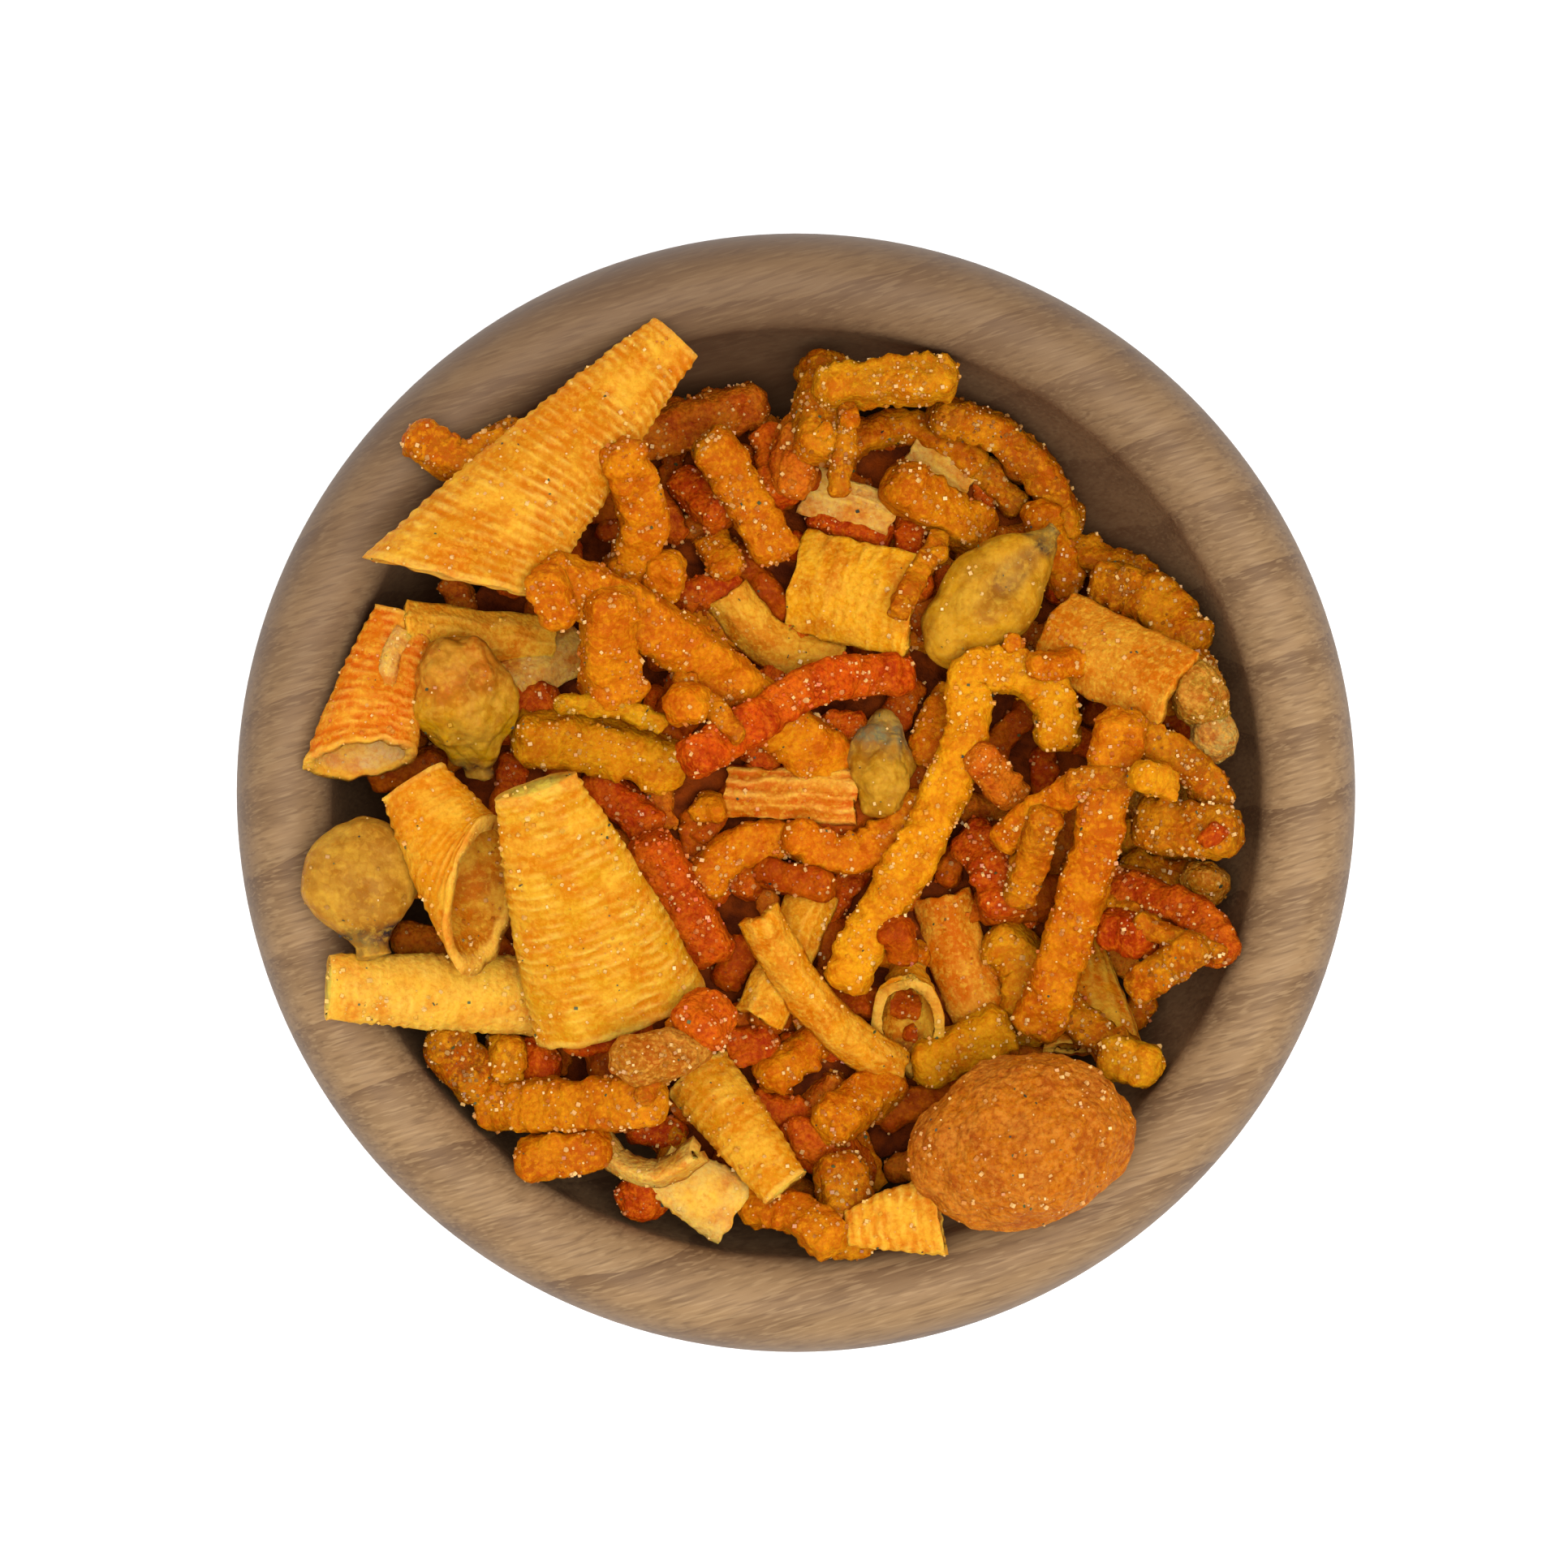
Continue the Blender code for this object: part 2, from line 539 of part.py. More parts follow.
def keep_off_bowl(made):
    """Move any point that comes too near the bowl's inner wall in towards the axis."""
    matrix = made.matrix_world.copy()
    back = matrix.inverted()
    for vert in made.data.vertices:
        place = matrix @ vert.co
        radius = math.hypot(place.x, place.y) / MM
        allowed = wall_radius(place.z / MM)
        if place.z < BOWL_HEIGHT * MM and radius > allowed:
            place.x *= allowed / radius
            place.y *= allowed / radius
            vert.co = back @ place


def largest_shell(mesh):
    """Drop loose scraps and the walls of sealed hollows: keep the one largest closed shell."""
    bm = bmesh.new()
    bm.from_mesh(mesh)
    bmesh.ops.triangulate(bm, faces=bm.faces)
    waiting = set(bm.verts)
    shells = []
    while waiting:
        shell = [waiting.pop()]
        for vert in shell:
            for edge in vert.link_edges:
                other = edge.other_vert(vert)
                if other in waiting:
                    waiting.remove(other)
                    shell.append(other)
        shells.append(shell)
    shells.sort(key=len)
    bmesh.ops.delete(bm, geom=[v for shell in shells[:-1] for v in shell], context="VERTS")
    bm.to_mesh(mesh)
    bm.free()


def make_heap(collection):
    """The core with every piece laid on it, fused to one solid."""
    pieces = bpy.data.collections.new("snack_pieces")
    bpy.context.scene.collection.children.link(pieces)
    heap = Heap()
    laid = [found for piece in fillers() + LAYOUT for found in heap.settle(piece)]
    for i, (piece, line) in enumerate(laid):
        made = SOLIDS[piece["kind"]](piece, line, f"piece_{i}", pieces)
        keep_off_bowl(made)
    core = applied(turned("core", core_profile(), CORE_STEPS, collection))
    for vert in core.data.vertices:
        if vert.co.z > (CORE_WALL_TOP + CORE_EDGE_LEVEL) / 2 * MM:
            vert.co.z = (core_top(vert.co.x / MM, vert.co.y / MM) + CORE_SWELL) * MM
    keep_off_bowl(core)
    join = core.modifiers.new("Fuse", "BOOLEAN")
    join.operation = "UNION"
    join.operand_type = "COLLECTION"
    join.collection = pieces
    fused = applied(core, FUSED_WELD)
    largest_shell(fused.data)
    fused.name = "snack_mix"
    for piece in list(pieces.objects):
        bpy.data.objects.remove(piece)
    bpy.data.collections.remove(pieces)
    return fused


def main():
    for old in list(bpy.data.objects):
        bpy.data.objects.remove(old)
    collection = bpy.data.collections.new("bowl_of_snack_mix")
    bpy.context.scene.collection.children.link(collection)
    bowl = turned("bowl", bowl_profile(), BOWL_STEPS, collection)
    bowl.data.materials.append(plain_material("wood", (0.32, 0.19, 0.10), 0.5))
    snack = make_heap(collection)
    snack.data.materials.append(plain_material("corn_snack", (0.62, 0.26, 0.03), 0.6))


main()
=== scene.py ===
# %% [markdown]
# # A small wooden bowl heaped with a savoury corn snack mix
#
# This lesson builds a turned wooden bowl, 100 mm wide, and the crunchy mix that fills it: fried corn
# sticks, hollow corn cones, thin crisps, toasted kernels and one coated peanut, all dusted with salt.
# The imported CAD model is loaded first. It fixes the size and the place of everything that follows.

import math
import random

import bmesh
import bpy
import numpy as np
from mathutils import Matrix, Vector, noise
from mathutils.bvhtree import BVHTree


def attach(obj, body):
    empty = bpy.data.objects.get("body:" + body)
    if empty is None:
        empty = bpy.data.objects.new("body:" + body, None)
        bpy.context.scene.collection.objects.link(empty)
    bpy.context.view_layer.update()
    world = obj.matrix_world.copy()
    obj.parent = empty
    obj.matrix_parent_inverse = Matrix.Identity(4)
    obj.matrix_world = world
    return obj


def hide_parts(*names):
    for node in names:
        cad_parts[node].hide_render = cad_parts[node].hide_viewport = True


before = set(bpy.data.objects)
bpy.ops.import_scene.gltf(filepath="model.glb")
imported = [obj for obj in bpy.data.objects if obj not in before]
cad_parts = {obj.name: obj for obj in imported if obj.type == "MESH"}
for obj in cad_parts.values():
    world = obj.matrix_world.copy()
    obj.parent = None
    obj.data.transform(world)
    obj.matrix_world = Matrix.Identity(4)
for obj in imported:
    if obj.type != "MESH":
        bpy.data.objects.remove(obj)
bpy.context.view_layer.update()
MM = 0.001

# %% [markdown]
# ## Helpers for meshes
#
# Sizes of food are easiest to think about in millimetres, so each mesh is shaped in millimetres and
# scaled to metres when it is finished. A colour layer named "tint" travels with each vertex, so that
# one material can serve many pieces that all have a slightly different colour.


# %% From a bmesh to an object
LIGHT_LEVEL = 1.7


def linear(red, green, blue):
    """A colour as a picture shows it, 0 to 255, as the linear values that give it in this light."""
    shares = [part / 255 for part in (red, green, blue)]
    return [(s / 12.92 if s <= 0.04045 else ((s + 0.055) / 1.055) ** 2.4) / LIGHT_LEVEL for s in shares]


def add_object(name, mesh):
    made = bpy.data.objects.new(name, mesh)
    bpy.context.scene.collection.objects.link(made)
    return made


def object_from(bm, name, smooth=True):
    """Scale a bmesh from millimetres to metres and make it an object at the origin."""
    bmesh.ops.scale(bm, vec=(MM, MM, MM), verts=bm.verts)
    mesh = bpy.data.meshes.new(name)
    bm.to_mesh(mesh)
    bm.free()
    mesh.shade_smooth() if smooth else mesh.shade_flat()
    return add_object(name, mesh)


def joined(name, parts):
    """Join objects into one piece with one mesh."""
    with bpy.context.temp_override(active_object=parts[0], selected_editable_objects=parts):
        bpy.ops.object.join()
    parts[0].name = name
    parts[0].data.name = name
    return parts[0]


# %% [markdown]
# ## The turned bowl
#
# A wood turner cuts a bowl on a lathe, so its form is one half section spun round an axis. Drawing
# the section from a few elliptical arcs keeps the wall thick at the rim and the curve of the belly
# clean. A spin operator then does the lathe's work. Box modelling would never get as round.

# %% The half section
BOWL_RADIUS = 50.0
BOWL_HEIGHT = 46.0
BELLY_LEVEL = 37.0
BELLY_DROP = 38.0
FOOT_RADIUS = 25.0
FOOT_ROUNDING = 1.0
CREST_RADIUS = 45.2
LIP_RADIUS = 41.0
LIP_LEVEL = 42.0
FLOOR_LEVEL = 9.0
FOOT_BEND = (0.4, 0.3)
FINE = {"wall": 40, "lip": 14, "shoulder": 18, "belly": 34}


def arc(centre, radii, first, last, count):
    """Points of an upright elliptical arc, its angles in degrees from straight up outwards."""
    angles = np.radians(np.linspace(first, last, count))
    return [(centre[0] + radii[0] * math.sin(a), centre[1] + radii[1] * math.cos(a)) for a in angles]


def inner_side(points):
    """Half section of the bowl's inside in mm, from the middle of its floor up to the crest."""
    wall = arc((0, LIP_LEVEL), (LIP_RADIUS, LIP_LEVEL - FLOOR_LEVEL), 180, 90, points["wall"])
    lip_radii = (CREST_RADIUS - LIP_RADIUS, BOWL_HEIGHT - LIP_LEVEL)
    return wall + arc((CREST_RADIUS, LIP_LEVEL), lip_radii, -90, 0, points["lip"])[1:]


def shoulder(points):
    radii = (BOWL_RADIUS - CREST_RADIUS, BOWL_HEIGHT - BELLY_LEVEL)
    return arc((CREST_RADIUS, BELLY_LEVEL), radii, 0, 90, points["shoulder"])


def bowl_section():
    """Half section of the whole bowl in mm, from its floor over the rim to its foot."""
    foot_angle = 90 + math.degrees(math.acos(FOOT_RADIUS / BOWL_RADIUS))
    belly = arc((0, BELLY_LEVEL), (BOWL_RADIUS, BELLY_DROP), 90, foot_angle, FINE["belly"])
    bend = (FOOT_RADIUS - FOOT_BEND[0], FOOT_BEND[1])
    foot = [(FOOT_RADIUS, FOOT_ROUNDING), bend, (FOOT_RADIUS - FOOT_ROUNDING, 0)]
    return inner_side(FINE) + shoulder(FINE)[1:] + belly[1:] + foot + [(0, 0)]


# %% Spin it
SPIN_STEPS = 192
WELD = 0.001


def spun(section, name):
    """A half section in mm, spun a full turn round Z and welded where it closes."""
    bm = bmesh.new()
    points = [bm.verts.new((r, 0, z)) for r, z in section]
    edges = [bm.edges.new(pair) for pair in zip(points, points[1:])]
    bmesh.ops.spin(bm, geom=points + edges, cent=(0, 0, 0), axis=(0, 0, 1), angle=2 * math.pi,
                   steps=SPIN_STEPS, use_merge=True)
    bmesh.ops.remove_doubles(bm, verts=bm.verts, dist=WELD)
    bmesh.ops.recalc_face_normals(bm, faces=bm.faces)
    return object_from(bm, name)


bowl = spun(bowl_section(), "turned_bowl")
print("bowl:", len(bowl.data.polygons), "faces")

# %% [markdown]
# ## What lies in the bowl
#
# Each row below is one piece of the mix, in the order in which the pieces fall into the bowl. Its
# places are in millimetres as they look from straight above at the level of the rim. A stick may
# bend through several points, a cone runs from its narrow end to its mouth, and "look" names a
# colour that is mixed further down. Picking the places one by one is the only way to get this one heap;
# a random scatter would only give a heap of its kind.

# %% Words for the pieces
SINK = 1.0


def stick(width, *path, look="orange", sink=SINK):
    return {"kind": "stick", "width": width, "height": width, "path": path, "sink": sink,
            "look": look}


def chip(width, *path, look="cream", height=2.6, sink=SINK):
    return {"kind": "chip", "width": width, "height": height, "path": path, "sink": sink,
            "look": look}


def kernel(width, height, *path, look="kernel", tip=0, sink=SINK):
    return {"kind": "kernel", "width": width, "height": height, "path": path, "sink": sink,
            "look": look, "tip_end": tip}


def cone(tip, tip_width, mouth, mouth_width, look="gold", flat=1.0, faces=None, sink=SINK):
    return {"kind": "cone", "width": mouth_width, "height": mouth_width * flat,
            "tip": tip_width / mouth_width, "path": (tip, mouth), "faces": faces, "sink": sink,
            "look": look}


# %% The pieces in the order in which they lie
LAYOUT = [
    # Deep pieces, seen only through the gaps
    stick(4.8, (-31, -21), (-27.4, -26), look="brown"),
    kernel(4.6, 4.2, (-24.8, -23.5), (-20.2, -23.5), look="red"),
    stick(3.2, (-25.0, -21.4), (-25.4, -25), look="pale orange"),
    stick(2.6, (-37, 0.8), (-31, 3), look="deep orange"),
    stick(3.0, (-20, -21.7), (-13, -20.5), look="red"),
    stick(3.2, (9.8, 25), (10.5, 17), look="red"),
    stick(3.2, (-10.3, 17), (-4.7, 17.8), look="red"),
    stick(3.4, (-10, 27.5), (-6.5, 24), look="red"),
    stick(3.2, (1.5, 24.5), (8, 22), look="red"),
    stick(3.5, (2, 5.5), (6, 5.2), look="red"),
    stick(3.6, (-6, -22.5), (-2, -21.5), look="red"),
    stick(3.4, (-4, -27.5), (1, -28.5), look="red"),
    stick(3.4, (31, 7), (27, 3.5), look="red"),
    stick(3.2, (-2.2, 31.5), (-1.4, 25.5), look="dark red"),
    kernel(4.6, 4.2, (-15.5, -34.6), (-11.2, -35.4), look="red"),
    # Low pieces round the wall
    stick(4.5, (-14.5, 30.5), (-10.5, 32), (-3, 34), look="red brown"),
    stick(2.6, (16, 28.5), (19.5, 24.5), look="shaded"),
    stick(3.2, (2.6, 28.2), (5.5, 31), (9, 32.2), (12.5, 31), (15.8, 28.4)),
    stick(3.6, (12, 33), (16.5, 31.8), (20.5, 29), (22.8, 25.5), (23.5, 22.5), look="shaded"),
    chip(4.5, (1, 26.5), (8.3, 23.8), height=2.2, look="bare"),
    chip(3.6, (10, 30), (15, 26.4), height=2.2, look="bare"),
    kernel(5.0, 4.5, (0, 33), (0, 26.2), look="red brown"),
    stick(3.2, (24.2, 21.3), (31.3, 18.4), look="shaded"),
    stick(5.0, (26.5, 18.2), (31.5, 16.5), (34.4, 12.4), look="shaded"),
    kernel(5.4, 5.0, (34, 11), (36.4, 6), look="nut"),
    kernel(4.2, 4.0, (35.4, 6.6), (37.2, 3), look="pale nut"),
    kernel(6.0, 5.4, (28.4, 0), (34.6, 0), look="light orange"),
    stick(3.4, (29, 4.8), (33.5, 2.5), (36.2, -1.4), look="shaded"),
    stick(3.6, (28.2, -4), (34.8, -4.9), look="pale orange"),
    kernel(3.8, 3.8, (33.6, -8), (37.4, -8), look="pale orange"),
    stick(3.8, (27.2, -8.2), (33, -9.8), (36, -12), (37.4, -14.4), look="red"),
    stick(3.6, (27, -11.5), (31, -13), look="red"),
    stick(3.4, (29.4, -17.3), (35.4, -13.3), look="shaded"),
    stick(5.0, (-27, 6.2), (-21, 8), look="red"),
    stick(4.6, (17.2, -12.6), (20, -15), (20, -21.6), look="pale orange"),
    chip(5.5, (12.8, -9), (14, -14), (16.2, -19.4), height=3.2, look="orange"),
    cone((9.8, -15.2), 3.0, (9.8, -20.4), 6.6, faces=(-0.1, -0.35, 1.0), look="hoop"),
    stick(4.4, (15.2, -3.6), (17.5, -7), (18.6, -10.4), look="red"),
    kernel(5.4, 4.4, (-1.4, -28.6), (6.8, -34.4), look="red"),
    cone((-12.0, -32.8), 4.4, (-5.4, -36.4), 6.8, flat=0.6, look="bare"),
    cone((4.4, -38.0), 3.0, (12.6, -36.8), 7.2, flat=0.7, look="cream"),
    stick(4.0, (-4.4, -36), (0, -36.5), (3.4, -39.5)),
    chip(4.6, (-17.6, -28.6), (-16, -32), (-12, -33.4), (-8.6, -31.4), height=3.4, look="curl"),
    stick(4.0, (-24, -32.2), (-16.6, -30.9)),
    stick(4.8, (-27, -27.4), (-19, -27), (-12, -26.4)),
    kernel(4.5, 4.4, (-16.6, -23.6), (-7.4, -22.4), look="nugget", sink=2.0),
    cone((-40.9, -17.0), 5.6, (-22.5, -17.7), 7.0, flat=0.85, look="pale cone"),
    kernel(10.0, 7.0, (-38.8, -2.2), (-37.0, -13.4), look="tan kernel", tip=1),
    cone((-34.3, 15.8), 5.0, (-38.1, 2.9), 9.3, flat=0.6, faces=(0.1, -0.8, 0.5), look="red cone"),
    stick(3.6, (-33.6, 31.4), (-29.5, 29), (-24.6, 30.2)),
    stick(3.8, (-17.8, 1.5), (-12.5, -3.4), look="red"),
    stick(3.9, (-8.6, -8.4), (-5.5, -5), (-0.7, -3.7)),
    stick(3.9, (-0.8, -3.4), (3, -5.3), (7, -4.5), (11.3, -0.7)),
    kernel(5.6, 5.6, (7.5, 7.2), (7.5, -1.8), look="split kernel", tip=-1),
    stick(4.0, (14, 8.4), (12, 5), (12, 2.6)),
    chip(4.6, (1.7, -8.4), (-0.5, -14), (-3.2, -19.6), height=3.0, look="yellow"),
    stick(3.6, (-2.6, -25.3), (1.8, -21.5)),
    stick(4.5, (2.4, -29.3), (8.3, -25)),
    cone((-0.9, -34.5), 4.5, (-8.6, -24.6), 6.4, flat=0.85, look="ochre"),
    # Pieces halfway up
    cone((-33.5, 1.0), 6.0, (-27.5, -9.0), 14.4, flat=0.55, faces=(0.75, -0.2, 0.5), sink=2.0,
         look="gold"),
    chip(4.6, (-24.6, 9.6), (-18.6, 13), height=2.4, look="bare"),
    chip(4.6, (-34, 14.6), (-21.2, 13), height=2.8, sink=2.0, look="cream"),
    cone((-10.6, 39.8), 5.0, (-30.1, 18.8), 13.6, flat=0.6, faces=(-0.22, -0.97, 0), look="big gold"),
    kernel(9.2, 7.0, (-29.9, 13.6), (-28, 2.4), look="green kernel", tip=1, sink=2.5),
    stick(4.6, (10.6, -23.8), (14.5, -22.5), (18.4, -20.2), look="light orange"),
    stick(4.2, (-15.6, 30), (-13.8, 26), (-13.5, 22.5), (-15.1, 18.6)),
    stick(4.2, (-7.7, 30.9), (-5.5, 27.5), (-3.3, 23.5), (-1.3, 20.7)),
    stick(4.8, (8.6, 27.5), (12.5, 24.8), (16.4, 22.2)),
    stick(3.3, (21.4, 25), (22.2, 22), (23.8, 17.6)),
    chip(8.0, (22.0, 14.4), (27.4, 14), (33, 9), height=3.4, look="orange gold"),
    kernel(8.6, 7.6, (21.6, 22), (12.2, 11.8), look="kernel", tip=-1),
    stick(5.3, (-22.4, 19.2), (-14.5, 15.8), (-7.5, 10.8), (-2, 6.5), (3.9, 2.2), sink=2.0),
    chip(4.4, (-6, 17.4), (-3.5, 14), (0, 12), (4.2, 12), height=3.0, look="cream"),
    chip(9.4, (0, 18.6), (10.4, 16.2), height=4.4, look="square"),
    stick(5.2, (-24.3, 4.8), (-18, 4.3), (-10.2, 2.1), look="light orange"),
    stick(5.0, (-16.3, 17.4), (-16.3, 12), (-15.7, 7.9), sink=2.5),
    chip(4.2, (-6, 0), (5.3, -0.4), height=2.6, look="striped"),
    stick(4.6, (-13, -4.2), (-10, -9.5), (-7.1, -14.4), look="dark red"),
    cone((25, -11.4), 2.0, (25.9, -22.2), 9.0, flat=0.4, look="striped cone"),
    stick(4.0, (27, -22.9), (31.4, -24.2), look="yellow"),
    kernel(14.6, 12.0, (9.8, -33.2), (29.6, -27.8), look="coated", sink=3.0),
    kernel(5.3, 4.0, (-8, -22.2), (-8, -17.2), look="bright red", sink=2.0),
    # Top pieces
    stick(4.4, (22.8, 4), (22.8, 7.5), (20.5, 10.2), (17.5, 10.8), (15.2, 10), (15, 6), (13, 0),
          (10, -6), (7, -11), (4.1, -16.9), look="light orange"),
    stick(4.6, (27.5, 6.4), (26.8, 2), (26, -3), (25, -8), (23.5, -14), (21.4, -21.4)),
    stick(3.0, (25.2, 1.2), (22, -1), (18, -4.2)),
    stick(3.1, (22.2, -1.6), (19.3, -9.4), look="shaded"),
    stick(3.9, (-9.4, 2.8), (-4, 6), (2.5, 9.8), (9.7, 10.3), look="bright red"),
    chip(4.0, (-3.2, -10.9), (0, -16.5), (4, -21), (9.2, -24.4), height=3.2, look="yellow"),
    cone((-22.8, 0.6), 7.2, (-15.5, -18.9), 15.7, flat=0.55, sink=2.5, look="front gold"),
    stick(4.2, (2, 35.4), (13.4, 35.8), look="pale orange"),
]
CRUMBS = [
    # Crumbs that lie in the gaps, and one thin ring on the red cone
    stick(3.8, (-11.2, 20.4), (-11.8, 17.4)),
    stick(3.3, (-7.4, 22), (-5.6, 19)),
    stick(4.0, (-9.8, 9), (-9.2, 6.5)),
    stick(3.6, (-7.6, -0.6), (-7.4, -2.2)),
    stick(1.8, (-21, 7.7), (-16, 7.6), (-11.5, 6), look="olive"),
    stick(2.6, (20.5, 11), (25, 11.5)),
    stick(3.5, (-22.2, 19.2), (-20.4, 14.8)),
    stick(2.2, (4.2, 33), (5.2, 32.2)),
    stick(2.0, (2, 31.9), (2.8, 31)),
    stick(2.4, (-17.4, 24.6), (-16.6, 23.2), look="red"),
    stick(2.4, (36, -3.2), (37, -4), look="red"),
    stick(2.6, (17, 2.6), (18, 1.4)),
    stick(2.0, (18.4, 13.4), (19.6, 12.6)),
    stick(1.4, (11.6, 21.2), (13.0, 20.8), look="pale orange"),
    chip(1.6, (-35.8, 9.4), (-35.4, 12.4), (-34.2, 14.2), height=1.4, look="bare"),
    stick(3.4, (15.6, 3.4), (19.2, -0.6), look="red brown"),
    stick(3.0, (-3.2, -6.8), (3.0, -8.2), look="deep orange"),
    stick(3.0, (8.6, -11.4), (9.4, -14.4), look="deep orange"),
    stick(3.0, (29.6, 1.8), (32.8, 0.4), look="light orange"),
]
print(len(LAYOUT) + len(CRUMBS), "pieces are laid by hand")

# %% [markdown]
# ## How the pieces come to rest
#
# A physics simulation would shake the pieces out of the places that were just picked. Instead the
# heap's upper surface is kept as a grid of levels. Each piece is let down on that grid along its own
# middle line, tips until it rests on both halves of its length, sinks a little into the food below,
# and then becomes part of the surface for the next one. Where a piece would lie on the wall alone, a
# short stick is laid under it first.

# %% The core and the bowl as surfaces
CORE_GAP = 0.7
CORE_EDGE_LEVEL = 34.0
CORE_DOME = 3.0
CORE_LEAN = (-0.13, -0.08)
EYE_OVER_RIM = 330.0
WALL_CLEARANCE = 0.7
SIDE_GAP = 0.6 * CORE_GAP
GRID_STEP = 0.5
GRID_MARGIN = 2
NOTHING = -1000.0
COARSE = {"wall": 8, "lip": 4, "shoulder": 5}
SPOTS_A_LINE = 20


def core_top(x, y):
    """Level that carries the lowest pieces: a low dome that leans down to the back right."""
    reach = np.hypot(x, y) / LIP_RADIUS
    return CORE_EDGE_LEVEL + CORE_DOME * (1 - reach ** 2) + CORE_LEAN[0] * x + CORE_LEAN[1] * y


def wall_radius(level):
    """How far from the axis food may reach at a level, a gap short of the inner wall."""
    radii, levels = zip(*inner_side(COARSE))
    return np.maximum(np.interp(level - CORE_GAP, levels, radii) - SIDE_GAP, 0.0)


def bowl_surface(radius):
    """Level of the bowl's upper side grown by the clearance, at each distance from the axis."""
    level = np.full(radius.shape, NOTHING)
    upper = inner_side(COARSE) + shoulder(COARSE)
    for (r0, z0), (r1, z1) in zip(upper, upper[1:]):
        for t in np.linspace(0, 1, SPOTS_A_LINE):
            r, z = r0 + (r1 - r0) * t, z0 + (z1 - z0) * t
            inside = WALL_CLEARANCE ** 2 - (radius - r) ** 2
            level = np.where(inside > 0, np.maximum(level, z + np.sqrt(np.maximum(inside, 0))), level)
    return level


# %% Lines and widths of the pieces
PATH_STEP = 2.0
END_WIDTH = 0.7
LEAST_ROUND = 0.04


def smooth_path(path, step):
    """The route through the given points as a rounded line with a point about every step."""
    points = [np.array(p, float) for p in path]
    if len(points) == 2:
        count = max(2, math.ceil(np.linalg.norm(points[1] - points[0]) / step) + 1)
        return np.array([points[0] + (points[1] - points[0]) * t for t in np.linspace(0, 1, count)])
    line = []
    padded = [2 * points[0] - points[1]] + points + [2 * points[-1] - points[-2]]
    for a, b, c, d in zip(padded, padded[1:], padded[2:], padded[3:]):
        count = max(1, math.ceil(np.linalg.norm(c - b) / step))
        for t in np.linspace(0, 1, count, endpoint=False):
            line.append(0.5 * (2 * b + (c - a) * t + (2 * a - 5 * b + 4 * c - d) * t ** 2
                               + (3 * b - a - 3 * c + d) * t ** 3))
    line.append(points[-1])
    return np.array(line)


def fullness(piece, t):
    """How much of its full width a piece has at the fraction t of its length."""
    if piece["kind"] == "cone":
        return piece["tip"] + (1 - piece["tip"]) * t
    if piece["kind"] == "kernel":
        return np.sqrt(np.maximum(1 - (2 * t - 1) ** 2, LEAST_ROUND))
    ends = np.minimum(t, 1 - t) * piece["length"] / (0.5 * piece["width"])
    return END_WIDTH + (1 - END_WIDTH) * np.minimum(ends, 1)


# %% The heap as a surface
LEVEL_ROUNDS = 4
LEAST_BITE = 0.4
LOOSE_CELLS = 3
PROP_REACH = 4.0
PROP_SPAN = (0.5, 1.5)
PROP_SPARE = 1.5
PROP_WIDTHS = (2.0, 5.0)
WIDEST_HALF = 9.0
STEEPEST = 0.6


def resting_line(along, needed, length):
    """The lowest straight line over all the points that rests on both sides of the middle."""
    bins = (along / GRID_STEP).astype(int)
    places = np.unique(bins)
    high = np.array([needed[bins == b].max() for b in places])
    where = (places + 0.5) * GRID_STEP
    middle = length / 2
    left, right = where < middle, where >= middle
    if not left.any() or not right.any():
        return high.max(), 0.0
    run = where[right][None, :] - where[left][:, None]
    rise = high[right][None, :] - high[left][:, None]
    slopes = rise / run
    at_middle = high[left][:, None] + slopes * (middle - where[left][:, None])
    slope = float(np.clip(slopes.flat[np.argmax(at_middle)], -STEEPEST, STEEPEST))
    return float((needed - slope * along).max()), slope


